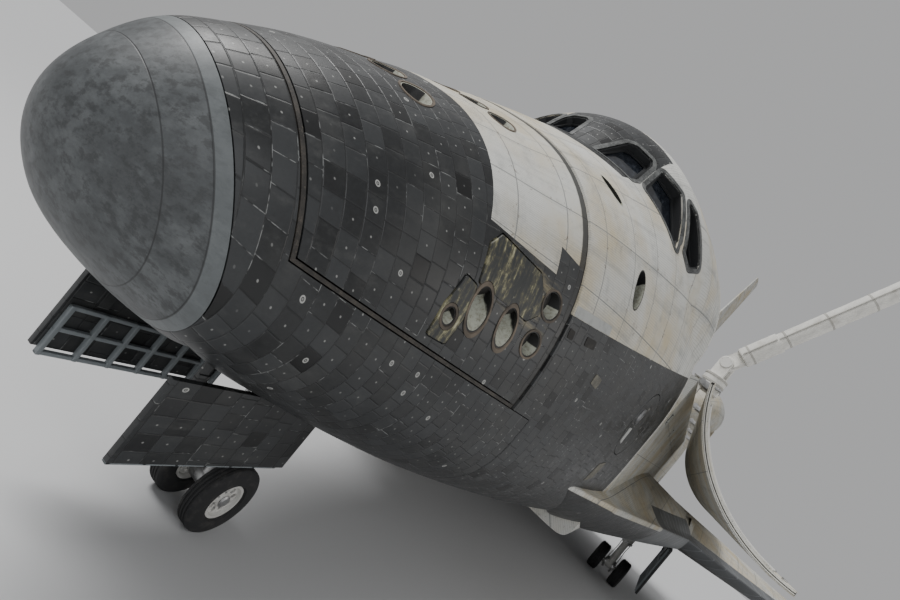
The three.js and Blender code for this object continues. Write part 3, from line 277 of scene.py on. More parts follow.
# Distance round the fuselage in inches from the crown, for a row of tiles at that station
def girth(f, station, port, height, centre, size, start):
    row = ((station - start) / size).floor() * size + (start + size / 2)
    radius = (row - 238.0).calc("MAXIMUM", 2.0).calc("SQRT") * 6.25
    return port.calc("ARCTAN2", height - centre) * radius


seams = {"capStation": 252.0, "capHeight": 365.0, "capSlope": 0.51,
         "moduleStation": 264.5, "moduleHeight": 373.0, "moduleSlope": 0.4,
         "moduleAft": 378.0, "moduleFloor": 337.5, "wellAft": 392.0}


# White areas above a line: its height at a station, its slope, and where it starts.
# Then the notch, the brow over the middle panes, the charred run and the dark border row.
pattern = {"module": (380.0, 327.0, 0.09, 326.0), "cabin": (377.7, 382.0, 0.165, 378.2),
           "notch": (362.0, 392.0), "brow": (31.5, 449.6, 420.0, 485.0),
           "charred": (352.0, 372.0, 50.0), "border": (375.4, 337.0)}


# Tiles and blankets of the nose and cabin share one pattern, so rows run on over the seams
def foreFinish():
    f = Finish("nose_tiles_and_blankets")
    here = f.place()
    x, port, height = f.parts(here)
    station = airframe["datum"] - x
    lean = ((seams["moduleAft"] - station) * (seams["moduleSlope"] / 113.5)).calc("MAXIMUM",
        0.0).calc("MINIMUM", 0.56)
    slanted = station + (height - seams["moduleHeight"]) * lean
    size = tileLook["size"]
    around = girth(f, slanted, port, height, 345.0, size, seams["moduleStation"])
    tiles = tileGrid(f, slanted - seams["moduleStation"], around, size, 2.0)
    darkColour, darkRough, darkHeight = darkTiles(f, here, tiles)
    paleColour, paleRough, paleHeight = paleQuilt(f, here, station,
                                                  port.calc("ARCTAN2", height - 360.0) * 92.0)

    def whiteAbove(key):
        level, start, slope, fore = pattern[key]
        return (height - level - (station - start) * slope).above(0.0) * station.above(fore)

    notch = station.above(pattern["notch"][0]) * height.below(pattern["notch"][1])
    side, level, fore, aft = pattern["brow"]
    brow = abs(port).below(side) * height.above(level) * station.below(aft) * station.above(fore)
    module = whiteAbove("module") * station.below(pattern["cabin"][3]) * (1 - notch)
    pale = (module + whiteAbove("cabin") * (1 - brow)).calc("MINIMUM", 1.0)
    colour = f.mix(pale, darkColour, paleColour)
    rough = darkRough + (paleRough - darkRough) * pale
    charred = f.noise(f.vector(station * 0.05, height * 0.4, port * 0.1), 1.0, 5.0, 0.7).ease(0.45, 0.7)
    middle, level, side = pattern["charred"]
    wide = (1 - abs(station - middle).ease(12.0, 19.0)) * (1 - abs(height - level).ease(6.0, 13.0))
    colour = f.mix(charred * (wide * abs(port).above(side)) * 0.55, colour, (0.36, 0.3, 0.17))
    middle, foot = pattern["border"]
    border = (1 - abs(station - middle).ease(1.4, 2.2)) * height.above(foot)
    colour = f.mix(border * 0.92, colour, (0.02, 0.02, 0.019))
    joined = darkHeight + (paleHeight - darkHeight) * pale
    return f.tiled(colour, rough, joined)


# Grey carbon: broad soft cloudiness, streaks along the flow and faint rings
def carbonFinish():
    f = Finish("carbon_composite", 0.42)
    here = f.place()
    x, port, height = f.parts(here)
    station = airframe["datum"] - x
    cloud = f.noise(here, 0.05, 6.0, 0.62)
    streak = f.noise(f.vector(x * 0.02, port * 0.22, height * 0.22), 1.0, 6.0, 0.66)
    fine = f.noise(here, 1.6, 4.0, 0.65)
    tone = f.node("ShaderNodeValToRGB", {"stops": [
        (0.3, (0.018, 0.02, 0.022)), (0.5, (0.05, 0.055, 0.058)), (0.68, (0.12, 0.128, 0.132))]},
        [cloud * 0.5 + streak * 0.5])
    slope = station + (height - seams["capHeight"]) * seams["capSlope"] - seams["capStation"]
    rings = (1 - abs(slope + 4.2).ease(0.05, 0.32)).calc("MAXIMUM", 1 - abs(slope + 13.5).ease(0.04, 0.22))
    rim = slope.ease(-4.3, -4.0)
    drawn = f.noise(f.vector(x * 0.015, port * 0.5, height * 0.5), 1.0, 6.0, 0.7).ease(0.46, 0.62)
    colour = f.mix(drawn * 0.7, tone, (0.014, 0.015, 0.016))
    colour = f.mix(fine * 0.16, colour, (0.2, 0.21, 0.21))
    colour = f.mix(rim * 0.35, colour, (0.2, 0.22, 0.225))
    colour = f.mix(rings * 0.75, colour, (0.012, 0.012, 0.013))
    rough = 0.34 + cloud * 0.2 + fine * 0.1
    return f.wear(colour, rough, f.bump(fine * 0.25 + streak * 0.3 - rings * 1.2, 0.0022, 0.6))


# Carbon panels of the wing's leading edge, each a shade of its own, streaked by the flow
def carbonEdgeFinish(name, lift):
    f = Finish(name, 0.45)
    here = f.place()
    x, port, height = f.parts(here)
    panel = ((airframe["datum"] - x) * 0.5 + abs(port) * 0.5) / 17.0
    tone = f.dice(panel.floor(), 4.0)
    cloud = f.noise(here, 0.06, 6.0, 0.62)
    fine = f.noise(here, 1.4, 4.0, 0.65)
    streak = f.noise(f.vector(x * 0.3, port * 0.3, height * 0.05), 1.0, 5.0, 0.6)
    shade = 0.07 + lift + tone * 0.045 + cloud * 0.05 + (streak - 0.5) * 0.06
    colour = f.mix(shade, (0, 0, 0), (0.95, 1.0, 1.04))
    colour = f.mix(fine.ease(0.6, 0.75) * 0.4, colour, (0.2, 0.19, 0.17))
    return f.wear(colour, 0.36 + cloud * 0.2 + fine * 0.12, f.bump(fine * 0.4 + streak * 0.3, 0.002, 0.6))


# Wings, tail and body: dark tiles where the skin faces down, blankets elsewhere
def skinFinish(name, allDark=False, upright=False, girthwise=False):
    f = Finish(name)
    here = f.place()
    x, port, height = f.parts(here)
    station = airframe["datum"] - x
    down = f.parts(f.node("ShaderNodeTexCoord", {}, (), "Normal"))[2]
    side = height if upright else (port.calc("ARCTAN2", height - 380.0) * 110.0 if girthwise else abs(port))
    tiles = tileGrid(f, (station + port) * 0.7071, (station - port) * 0.7071 if not upright else height,
                     6.1, 5.0)
    darkColour, darkRough, darkHeight = darkTiles(f, here, tiles)
    if allDark:
        return f.tiled(darkColour, darkRough, darkHeight)
    paleColour, paleRough, paleHeight = paleQuilt(f, here, station, side)
    dark = down.below(-0.35)
    colour = f.mix(dark, paleColour, darkColour)
    rough = paleRough + (darkRough - paleRough) * dark
    bumps = paleHeight + (darkHeight - paleHeight) * dark
    return f.tiled(colour, rough, bumps)


# Outer skin of the bay doors: blankets and panel lines that follow the open door's arc
def doorFinish():
    f = Finish("bay_door_blankets")
    here = f.place()
    x, port, height = f.parts(here)
    around = (height - 448.2).calc("ARCTAN2", abs(port) - 208.1) * 102.0
    colour, rough, bumps = paleQuilt(f, here, airframe["datum"] - x, around)
    return f.tiled(colour, rough, bumps)


# Pods: blankets and white tiles in rows round the pod, scorched towards the aft end
def podFinish():
    f = Finish("pod_blankets")
    here = f.place()
    x, port, height = f.parts(here)
    station = airframe["datum"] - x
    around = (height - 488.0).calc("ARCTAN2", abs(port) - 80.0) * 46.0
    colour, rough, bumps = paleQuilt(f, here, station, around)
    scorch = station.ease(1430.0, 1545.0) * f.noise(here, 0.09, 5.0, 0.6).ease(0.3, 0.65)
    colour = f.mix(scorch * 0.5, colour, (0.2, 0.17, 0.13))
    return f.tiled(colour, rough, bumps)


def paintFinish(name, tint, rough=0.45, dirt=0.4, scale=0.08):
    f = Finish(name, rough)
    here = f.place()
    grime = f.noise(here, scale, 6.0, 0.62).ease(0.45, 0.75)
    fine = f.noise(here, 1.5, 4.0, 0.65)
    colour = f.mix(grime * dirt, tint, tuple(c * 0.45 for c in tint))
    colour = f.mix(fine * 0.16, colour, tuple(min(1, c * 1.3) for c in tint))
    return f.wear(colour, rough + fine * 0.12 + grime * 0.12, f.bump(fine, 0.0008, 0.5))


def metalFinish(name, tint, heat=None, rough=0.32, metallic=1.0):
    f = Finish(name, rough, metallic)
    here = f.place()
    x, port, height = f.parts(here)
    brushed = f.noise(f.vector(x * 0.4, port * 3.0, height * 3.0), 1.0, 4.0, 0.6)
    cloud = f.noise(here, 0.06, 5.0, 0.6).ease(0.35, 0.7)
    colour = f.mix(cloud, tint, heat or tuple(c * 0.6 for c in tint))
    return f.wear(colour, rough + brushed * 0.16 + cloud * 0.14, f.bump(brushed, 0.0006, 0.4))


# White wrapped cloth with a fine weave and soft creases
def wrapFinish(name, tint):
    f = Finish(name, 0.75)
    here = f.place()
    x, port, height = f.parts(here)
    crease = f.noise(f.vector(x * 0.1, port * 0.25, height * 0.1), 1.0, 6.0, 0.7)
    weave = f.noise(here, 6.0, 2.0, 0.5)
    grime = f.noise(here, 0.12, 5.0, 0.6).ease(0.5, 0.78)
    colour = f.mix(crease.ease(0.4, 0.7) * 0.4, tint, tuple(c * 0.62 for c in tint))
    colour = f.mix(grime * 0.35, colour, (0.3, 0.27, 0.22))
    return f.wear(colour, 0.7 + weave * 0.15, f.bump(crease + weave * 0.25, 0.006, 0.7))


# White liner with square quilting and a snap at each crossing
def linerFinish():
    f = Finish("bay_liner", 0.8)
    here = f.place()
    x, port, height = f.parts(here)
    around = port.calc("ARCTAN2", 400.0 - height) * 92.0
    u = abs((x / 9.0).fraction() - 0.5) * 9.0
    v = abs((around / 9.0).fraction() - 0.5) * 9.0
    seam = 1 - u.calc("MINIMUM", v).ease(0.1, 0.5)
    snap = 1 - ((u * u + v * v).calc("SQRT")).ease(0.35, 0.55)
    puff = u.calc("MINIMUM", v).ease(0.0, 3.2)
    grime = f.noise(here, 0.05, 5.0, 0.6).ease(0.45, 0.75)
    colour = f.mix(grime * 0.3, (0.66, 0.65, 0.61), (0.42, 0.4, 0.36))
    colour = f.mix(seam * 0.45, colour, (0.33, 0.32, 0.3))
    colour = f.mix(snap * 0.8, colour, (0.22, 0.22, 0.21))
    crumple = f.noise(here, 0.35, 4.0, 0.6)
    return f.wear(colour, 0.75 + crumple * 0.15, f.bump(puff + crumple * 0.5 - seam * 0.4, 0.012, 0.7))


# Silvered radiator film: panel joints, fine tube lines and soft wrinkles
def radiatorFinish():
    f = Finish("radiator_film", 0.16, 0.9)
    here = f.place()
    x, port, height = f.parts(here)
    lines = 1 - abs((x / 2.1).fraction() - 0.5).ease(0.0, 0.12)
    joint = 1 - (abs((x / 45.0).fraction() - 0.5) * 45.0).ease(0.1, 0.5)
    wrinkle = f.noise(here, 0.2, 5.0, 0.6)
    cloud = f.noise(here, 0.03, 4.0, 0.5)
    colour = f.mix(cloud, (0.8, 0.81, 0.82), (0.55, 0.57, 0.6))
    colour = f.mix(lines * 0.25 + joint * 0.6, colour, (0.2, 0.21, 0.22))
    return f.wear(colour, 0.1 + wrinkle * 0.2 + joint * 0.2,
                  f.bump(wrinkle * 0.6 - lines * 0.25 - joint, 0.003, 0.6))


# Charred metal with golden brown and cream streaks running up the girth
def charredFinish():
    f = Finish("charred_panel_metal", 0.5)
    here = f.place()
    x, port, height = f.parts(here)
    streak = f.noise(f.vector(x * 0.42, port * 0.1, height * 0.07), 1.0, 6.0, 0.66)
    broken = f.noise(here, 0.5, 5.0, 0.7)
    base = f.node("ShaderNodeValToRGB", {"stops": [
        (0.36, (0.01, 0.012, 0.013)), (0.48, (0.025, 0.027, 0.026)), (0.54, (0.07, 0.065, 0.04)),
        (0.61, (0.28, 0.26, 0.15)),
        (0.7, (0.55, 0.53, 0.42))]}, [streak * 0.72 + broken * 0.3])
    colour = f.mix(broken.ease(0.62, 0.75) * 0.5, base, (0.5, 0.47, 0.36))
    return f.wear(colour, 0.38 + broken * 0.3, f.bump(broken * 0.6 + streak * 0.4, 0.003, 0.6))


# Worn tiles along an edge: dark, with pale scratches and chips
def speckledFinish(name, dark, light):
    f = Finish(name, 0.6)
    here = f.place()
    broad = f.noise(here, 0.16, 5.0, 0.65)
    chips = f.noise(here, 1.1, 5.0, 0.75)
    colour = f.mix(broad.ease(0.35, 0.7) * 0.5, dark, light)
    colour = f.mix(chips.ease(0.52, 0.66) * 0.75, colour, light)
    return f.wear(colour, 0.5 + chips * 0.3, f.bump(chips, 0.003, 0.6))


# Thruster cups: pale coating with dirt, and a painted shadow, near black, on the walls that face away from
# the light above the crown; noise breaks the shadow's edge
def cupFinish():
    f = Finish("thruster_cup_coating_painted_shadow", 0.5)
    here = f.place()
    facing = f.parts(f.node("ShaderNodeTexCoord", {}, (), "Normal"))
    # How far each face turns towards the light from above the crown, for the painted shadow
    across = facing[0] * 0.27 - facing[1] * 0.58 + facing[2] * 0.77
    shadowEdgeNoise = f.noise(here, 0.35, 4.0, 0.6)
    dirt = f.noise(here, 0.9, 5.0, 0.65)
    pale = f.mix(dirt.ease(0.4, 0.75), (0.42, 0.43, 0.36), (0.2, 0.19, 0.14))
    # Painted shadow: faces turned away from that light go near black
    paintedShadow = 1 - (across + (shadowEdgeNoise - 0.5) * 0.12).ease(0.1, 0.16)
    colour = f.mix(paintedShadow, pale, (0.008, 0.008, 0.008))
    return f.wear(colour, 0.42 + dirt * 0.25, f.bump(dirt, 0.0015, 0.5))


def glassFinish():
    f = Finish("window_glass", 0.04, Specular_IOR_Level=0.7)
    here = f.place()
    smear = f.noise(here, 0.3, 4.0, 0.6)
    colour = f.mix(smear.ease(0.4, 0.8), (0.006, 0.008, 0.012), (0.03, 0.035, 0.045))
    return f.wear(colour, 0.03 + smear * 0.09)


def rubberFinish(name, tint, rough=0.75):
    f = Finish(name, rough)
    here = f.place()
    fine = f.noise(here, 3.0, 4.0, 0.6)
    dust = f.noise(here, 0.25, 4.0, 0.6).ease(0.5, 0.8)
    colour = f.mix(dust * 0.3, tint, (0.12, 0.11, 0.1))
    return f.wear(colour, rough + fine * 0.15, f.bump(fine, 0.0008, 0.5))


finishes = {
    "fore": foreFinish(),
    "carbon": carbonFinish(),
    "carbonEdge": carbonEdgeFinish("carbon_edge_panels", 0.0),
    "sealStrip": carbonEdgeFinish("carbon_seal_strips", 0.1),
    "skin": skinFinish("body_and_wing_skin"),
    "bodySkin": skinFinish("body_skin", girthwise=True),
    "finSkin": skinFinish("fin_skin", upright=True),
    "dark": skinFinish("dark_tiles", allDark=True),
    "darkSide": skinFinish("dark_upright_tiles", allDark=True, upright=True),
    "doorSkin": doorFinish(),
    "rope": wrapFinish("seal_rope_cloth", (0.6, 0.59, 0.54)),
    "liner": linerFinish(),
    "radiator": radiatorFinish(),
    "glass": glassFinish(),
    "paint": paintFinish("white_paint", (0.62, 0.61, 0.58)),
    "cabin": paintFinish("cabin_grey_paint", (0.2, 0.22, 0.23), 0.5),
    "frame": paintFinish("window_frame_black", (0.018, 0.019, 0.02), 0.38, 0.2),
    "seal": rubberFinish("seam_seal", (0.02, 0.018, 0.016)),
    "tyre": rubberFinish("tyre_rubber", (0.02, 0.02, 0.021)),
    "cup": cupFinish(),
    "rim": metalFinish("thruster_rim_heat_tinted", (0.16, 0.13, 0.1), (0.05, 0.045, 0.04), 0.45, 0.6),
    "steel": metalFinish("machined_metal", (0.5, 0.5, 0.5)),
    "nozzle": metalFinish("nozzle_heat_tinted", (0.3, 0.27, 0.24), (0.16, 0.12, 0.1), 0.36),
    "hoop": metalFinish("nozzle_hoops", (0.34, 0.31, 0.28), (0.2, 0.15, 0.11), 0.4),
    "shield": wrapFinish("heat_shield_blanket", (0.3, 0.28, 0.25)),
    "podSkin": podFinish(),
    "charred": charredFinish(),
    "surround": speckledFinish("scuffed_edge_tiles", (0.03, 0.032, 0.032), (0.2, 0.205, 0.2)),
    "edgeStrip": speckledFinish("seam_edge_strip", (0.016, 0.014, 0.012), (0.085, 0.072, 0.058)),
    "panel": speckledFinish("worn_side_panel", (0.08, 0.075, 0.06), (0.24, 0.225, 0.18)),
    "pale": paintFinish("pale_grey_coating", (0.36, 0.365, 0.35), 0.6, 0.5, 0.2),
    "wrap": wrapFinish("white_cloth_wrap", (0.66, 0.65, 0.61)),
    "strap": wrapFinish("grey_strap_cloth", (0.4, 0.39, 0.36)),
}
print("finishes made")


def onlySelect(*objs):
    bpy.ops.object.select_all(action="DESELECT")
    for obj in objs:
        obj.select_set(True)
    bpy.context.view_layer.objects.active = objs[0]


def applyModifiers(obj):
    onlySelect(obj)
    for modifier in list(obj.modifiers):
        bpy.ops.object.modifier_apply(modifier=modifier.name)
    return obj


def combine(obj, other, operation, keep=False):
    cut = obj.modifiers.new("cut", "BOOLEAN")
    cut.operation = operation
    cut.solver = "EXACT"
    cut.object = other
    applyModifiers(obj)
    if not keep:
        bpy.data.objects.remove(other)
    return obj


def without(obj, other, keep=False):
    return combine(obj, other, "DIFFERENCE", keep)


def common(obj, other, keep=False):
    return combine(obj, other, "INTERSECT", keep)


def cloneOf(obj, name):
    copy = obj.copy()
    copy.data = obj.data.copy()
    copy.name = name
    bpy.context.collection.objects.link(copy)
    return copy


def joinAll(objs):
    onlySelect(*objs)
    bpy.ops.object.join()
    return bpy.context.object


# Turned through the keel plane, with faces pointing out again
def mirrorPort(obj, name):
    copy = cloneOf(obj, name)
    copy.data.transform(Matrix.Scale(-1, 4, (0, 1, 0)))
    copy.data.flip_normals()
    return copy


# Joined, settled, smoothed, painted and riding on its body
def finished(obj, name, body, finish, replaces=(), smooth=28.0):
    obj = joinAll(obj) if isinstance(obj, list) else obj
    obj.name = obj.data.name = name
    obj.data.transform(toRow @ obj.matrix_world)
    obj.matrix_world = Matrix.Identity(4)
    onlySelect(obj)
    bpy.ops.object.shade_smooth_by_angle(angle=math.radians(smooth))
    obj.data.materials.clear()
    obj.data.materials.append(finishes[finish])
    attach(obj, body)
    if replaces:
        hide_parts(*replaces)
    return obj


# A grid primitive wrapped round closed rings of points, its ends filled
def wrapRings(name, rings):
    count, around = len(rings), len(rings[0])
    bpy.ops.mesh.primitive_grid_add(x_subdivisions=count - 1, y_subdivisions=around, size=2)
    obj = bpy.context.object
    obj.name = name
    for vertex in obj.data.vertices:
        row = round((vertex.co.x + 1) / 2 * (count - 1))
        step = round((vertex.co.y + 1) / 2 * around)
        vertex.co = rings[row][step % around]
    bpy.ops.object.mode_set(mode="EDIT")
    bpy.ops.mesh.select_all(action="SELECT")
    bpy.ops.mesh.remove_doubles(threshold=1e-4)
    bpy.ops.mesh.select_all(action="DESELECT")
    bpy.ops.mesh.select_non_manifold(extend=False, use_wire=False, use_boundary=True,
                                     use_multi_face=False, use_non_contiguous=False, use_verts=False)
    bpy.ops.mesh.edge_face_add()
    bpy.ops.mesh.select_all(action="SELECT")
    bpy.ops.mesh.normals_make_consistent(inside=False)
    bpy.ops.object.mode_set(mode="OBJECT")
    return obj


# Keeps what lies on the side of the plane that the normal points to
def keepSide(obj, point, normal):
    onlySelect(obj)
    bpy.ops.object.mode_set(mode="EDIT")
    bpy.ops.mesh.select_all(action="SELECT")
    bpy.ops.mesh.bisect(plane_co=point, plane_no=normal, use_fill=True, clear_inner=True, clear_outer=False)
    bpy.ops.object.mode_set(mode="OBJECT")
    return obj


def boxOf(stations, ports, heights, bevel=0.0, segments=3):
    low, high = at(stations[1], ports[0], heights[0]), at(stations[0], ports[1], heights[1])
    bpy.ops.mesh.primitive_cube_add(size=1, location=(low + high) / 2, scale=high - low)
    obj = bpy.context.object
    bpy.ops.object.transform_apply(location=True, rotation=True, scale=True)
    if bevel:
        edge = obj.modifiers.new("edge", "BEVEL")
        edge.width, edge.segments = bevel, segments
        applyModifiers(obj)
    return obj


def barOf(start, end, radius, endRadius=None, sides=32):
    way = end - start
    bpy.ops.mesh.primitive_cone_add(vertices=sides, radius1=radius, radius2=radius if endRadius is None
                                    else endRadius,
                                    depth=way.length, location=(start + end) / 2,
                                    rotation=way.to_track_quat("Z", "Y").to_euler())
    bpy.ops.object.transform_apply(location=True, rotation=True, scale=True)
    return bpy.context.object


# A closed profile of distance and radius turned about a line
def turnedOf(profile, start, way, sides=64):
    rings = []
    aside = way.orthogonal().normalized()
    other = way.normalized().cross(aside)
    for k in range(sides):
        angle = 2 * math.pi * k / sides
        out = aside * math.cos(angle) + other * math.sin(angle)
        rings.append([start + way.normalized() * along + out * radius for along, radius in profile])
    bpy.ops.mesh.primitive_grid_add(x_subdivisions=sides, y_subdivisions=len(profile) - 1, size=2)
    obj = bpy.context.object
    for vertex in obj.data.vertices:
        turn = round((vertex.co.x + 1) / 2 * sides) % sides
        step = round((vertex.co.y + 1) / 2 * (len(profile) - 1))
        vertex.co = rings[turn][step]
    bpy.ops.object.mode_set(mode="EDIT")
    bpy.ops.mesh.select_all(action="SELECT")
    bpy.ops.mesh.remove_doubles(threshold=1e-4)
    bpy.ops.mesh.normals_make_consistent(inside=False)
    bpy.ops.object.mode_set(mode="OBJECT")
    return obj


# Sections: station, top, bottom, height of greatest width, half width, roundness above, roundness below
hull = {"start": 237.9, "end": 582, "rows": [
    (238, 338, 336, 337, 1, 2, 2), (240.5, 347, 327, 337, 8.5, 2, 2), (245, 355, 320, 337, 15.5, 2, 2),
    (252, 364.5, 313, 337, 23, 2, 2), (265, 373.5, 305.5, 337, 32.5, 2.05, 2.05),
    (282, 383.5, 299, 336.5, 42.5, 2.15, 2.1),
    (307, 395.5, 293, 335, 53.5, 2.25, 2.2), (330, 406.5, 289.5, 333, 61.8, 2.35, 2.35),
    (352, 415.5, 287, 331, 69, 2.42, 2.5),
    (378, 428, 285, 331, 77, 2.45, 2.7), (400, 438, 284, 333, 83, 2.4, 2.85),
    (430, 451, 283, 336, 89, 2.35, 3.1),
    (460, 465, 282, 341, 93.5, 2.3, 3.4), (500, 482, 281, 350, 98.5, 2.25, 3.9),
    (540, 495, 280, 360, 102, 2.15, 4.4),
    (582, 502, 279, 370, 105, 2.05, 5)]}
# Roof sections: station, top, half width at the foot, roundness
roof = {"foot": 420, "start": 436, "long": 145, "steps": 35, "rows": [
    (436, 449, 18, 2), (441, 456, 24, 2), (450, 466, 33, 2), (458, 475, 41, 2), (466, 482.5, 50, 2),
    (480, 492, 68, 2), (500, 499.5, 81, 1.95), (540, 502.5, 92, 2), (581, 502.3, 98, 2.1)]}
tail = {"rows": [
    (1307, 502, 277, 370, 105, 2.05, 24), (1400, 506, 278, 372, 109, 2.2, 24),
    (1470, 510, 280, 374, 112, 2.4, 24), (1511, 512, 283, 376, 113, 2.6, 24)]}


# A smooth row of the table at any station; bends are eased in the square root of the distance from the nose
def smoothRow(rows, station, origin=None):
    key = (lambda s: math.sqrt(max(s - origin, 0))) if origin else (lambda s: s)
    keys = [key(row[0]) for row in rows]
    t = min(max(key(station), keys[0]), keys[-1])
    k = min(max(i for i, value in enumerate(keys) if value <= t), len(rows) - 2)
    h = keys[k + 1] - keys[k]
    u = (t - keys[k]) / h
    out = [station]
    for column in range(1, len(rows[0])):
        value = [row[column] for row in rows]

        def slope(i):
            before, after = max(i - 1, 0), min(i + 1, len(rows) - 1)
            return (value[after] - value[before]) / (keys[after] - keys[before])

        a, b = slope(k) * h, slope(k + 1) * h
        out.append((2 * u**3 - 3 * u**2 + 1) * value[k] + (u**3 - 2 * u**2 + u) * a
                   + (3 * u**2 - 2 * u**3) * value[k + 1] + (u**3 - u**2) * b)
    return out


def hullRing(row, grow=0.0, quarter=24):
    station, top, bottom, wide, half, roundTop, roundBottom = row
    ring = []
    for k in range(4 * quarter):
        angle = k / quarter * math.pi / 2
        across, up = math.sin(angle), math.cos(angle)
        power = 2 / (roundTop if up >= 0 else roundBottom)
        reach = (top - wide if up >= 0 else wide - bottom) + grow
        ring.append(at(station, math.copysign(abs(across) ** power * (half + grow), across),
                       wide + math.copysign(abs(up) ** power * reach, up)))
    return ring


def roofRing(row, grow=0.0, quarter=24):
    station, top, half, roundness = row
    arch = []
    for k in range(quarter + 1):
        angle = k / quarter * math.pi / 2
        across, up = max(math.sin(angle), 0) ** (2 / roundness), max(math.cos(angle), 0) ** (2 / roundness)
        arch.append((across * (half + grow), roof["foot"] + up * (top - roof["foot"] + grow)))
    arch.append((half / 2, roof["foot"] - 40))
    return [at(station, a, h) for a, h in arch] + [at(station, -a, h) for a, h in reversed(arch[1:])]


def foreBody(name, grow=0.0, rows=92, quarter=24):
    first, last = math.sqrt(0.1), math.sqrt(hull["end"] - hull["start"])
    keys = [first + (last - first) * k / (rows - 1) for k in range(rows)]
    stations = [hull["start"] + key * key for key in keys]
    body = wrapRings(name, [hullRing(smoothRow(hull["rows"], s, hull["start"]), grow, quarter)
                            for s in stations])
    stations = [roof["start"] + roof["long"] * (k / roof["steps"]) ** 1.25
                for k in range(roof["steps"] + 1)]
    crown = wrapRings("crown", [roofRing(smoothRow(roof["rows"], s), grow, quarter) for s in stations])
    return combine(body, crown, "UNION")


# The camera stands low, ahead of the port side, rolled with the vehicle as in the photograph
camera = {"station": 170.3, "port": 130.87, "height": 355.7, "lens": 23.9,
          "right": (-0.33994, 0.69234, 0.63648),
          "up": (0.26856, -0.57714, 0.77122), "back": (0.90129, 0.43310, 0.01026)}
turnToRow = toRow.to_3x3().normalized()
bpy.ops.object.camera_add(location=toRow @ at(camera["station"], camera["port"], camera["height"]))
photoView = bpy.context.object
photoView.name = "photo_view"
turned = Matrix((camera["right"], camera["up"], camera["back"])).transposed()
photoView.rotation_euler = (turnToRow @ turned).to_euler()
photoView.data.lens = camera["lens"]
photoView.data.clip_start, photoView.data.clip_end = 0.1, 600
bpy.context.scene.camera = photoView

# Soft boxes: one large above the crown, a weaker one low ahead, one behind the port wing
softBoxes = {"aim": (420, 20, 370), "boxes": (
    ("crown_light", (0.30, -0.50, 0.81), 17.0, 7.0, 900, (1.0, 0.985, 0.96)),
    ("nose_light", (0.95, 0.75, 0.35), 16.0, 7.0, 430, (0.95, 0.975, 1.0)),
    ("flank_light", (-0.35, 0.9, 0.25), 18.0, 7.0, 380, (1.0, 0.97, 0.93)))}
for name, way, distance, size, power, tint in softBoxes["boxes"]:
    target = toRow @ at(*softBoxes["aim"])
    place = target + turnToRow @ Vector(way).normalized() * distance
    bpy.ops.object.light_add(type="AREA", location=place,
                             rotation=(place - target).to_track_quat("Z", "Y").to_euler())
    lamp = bpy.context.object
    lamp.name = name
    lamp.data.shape, lamp.data.size = "DISK", size
    lamp.data.energy, lamp.data.color = power, tint

sun = {"way": (0.30, -0.50, 0.81), "strength": 2.6, "angle": 26}
sunTurn = (turnToRow @ Vector(sun["way"])).to_track_quat("Z", "Y").to_euler()
bpy.ops.object.light_add(type="SUN", rotation=sunTurn)
evenLight = bpy.context.object
evenLight.name = "even_light"
evenLight.data.energy, evenLight.data.angle = sun["strength"], math.radians(sun["angle"])

studio = {"size": 1800.0, "floor": (0.6, 0.603, 0.607), "sky": (0.78, 0.783, 0.79), "strength": 0.55}
world = bpy.data.worlds.new("studio")
bpy.context.scene.world = world
world.use_nodes = True
world.node_tree.nodes["Background"].inputs["Color"].default_value = (*studio["sky"], 1)
world.node_tree.nodes["Background"].inputs["Strength"].default_value = studio["strength"]
bpy.ops.mesh.primitive_plane_add(size=studio["size"])
floor = bpy.context.object
floor.name = "studio_floor"
floorPaint = Finish("pale_floor", 0.85)
floor.data.materials.append(floorPaint.wear(studio["floor"]))
print("camera, lights and floor set")


def recalculate(obj):
    onlySelect(obj)
    bpy.ops.object.mode_set(mode="EDIT")
    bpy.ops.mesh.select_all(action="SELECT")
    bpy.ops.mesh.normals_make_consistent(inside=False)
    bpy.ops.object.mode_set(mode="OBJECT")
    return obj


# Corner points joined by straight edges and rounded corners, the edges moved outwards by grow
def roundedOutline(corners, radius, grow=0.0, steps=5):
    points = []
    for k, corner in enumerate(corners):
        back = (corners[k - 1] - corner).normalized()
        ahead = (corners[(k + 1) % len(corners)] - corner).normalized()
        turn = back.angle(ahead)
        moved = corner - (back + ahead) * (grow / math.sin(turn))
        centre = moved + (back + ahead).normalized() * radius / math.sin(turn / 2)
        first = moved + back * radius / math.tan(turn / 2) - centre
        last = moved + ahead * radius / math.tan(turn / 2) - centre
        points += [centre + first.slerp(last, i / steps) * radius for i in range(steps + 1)]
    return points


def outlineNormal(outline):
    middle = sum(outline, Vector()) / len(outline)
    spin = Vector()
    for k, point in enumerate(outline):
        spin += (point - middle).cross(outline[(k + 1) % len(outline)] - middle)
    return spin.normalized()


# A cylinder primitive drawn out to a flat outline, from low to high along a way
def plateOf(outline, low, high, way=None):
    way = way or outlineNormal(outline)
    bpy.ops.mesh.primitive_cylinder_add(vertices=len(outline), end_fill_type="NGON")
    obj = bpy.context.object
    for vertex in obj.data.vertices:
        step = round(math.atan2(vertex.co.x, vertex.co.y) / (2 * math.pi) * len(outline)) % len(outline)
        vertex.co = outline[step] + way * (high if vertex.co.z > 0 else low)
    return recalculate(obj)


def frameOf(outline, opening, low, high, way=None):
    return without(plateOf(outline, low, high, way), plateOf(opening, low - 1, high + 1, way))


# Four corners in station and height, drawn out across the body
def prismOf(corners, ports=(-140, 140)):
    return plateOf([at(station, ports[0], height) for station, height in corners], 0, ports[1] - ports[0],
                   across)


def modulePrism(shrink, aft):
    low, high = seams["moduleFloor"] + shrink, 620
    fore = [seams["moduleStation"] + (seams["moduleHeight"] - level) * seams["moduleSlope"] + shrink
            for level in (low, high)]
    return prismOf([(fore[0], low), (aft, low), (aft, high), (fore[1], high)])


# Keeps what lies behind one station and ahead of another
def between(obj, fore=None, aft=None):
    if fore is not None:
        keepSide(obj, at(fore, 0, 300), -forward)
    if aft is not None:
        keepSide(obj, at(aft, 0, 300), forward)
    return obj


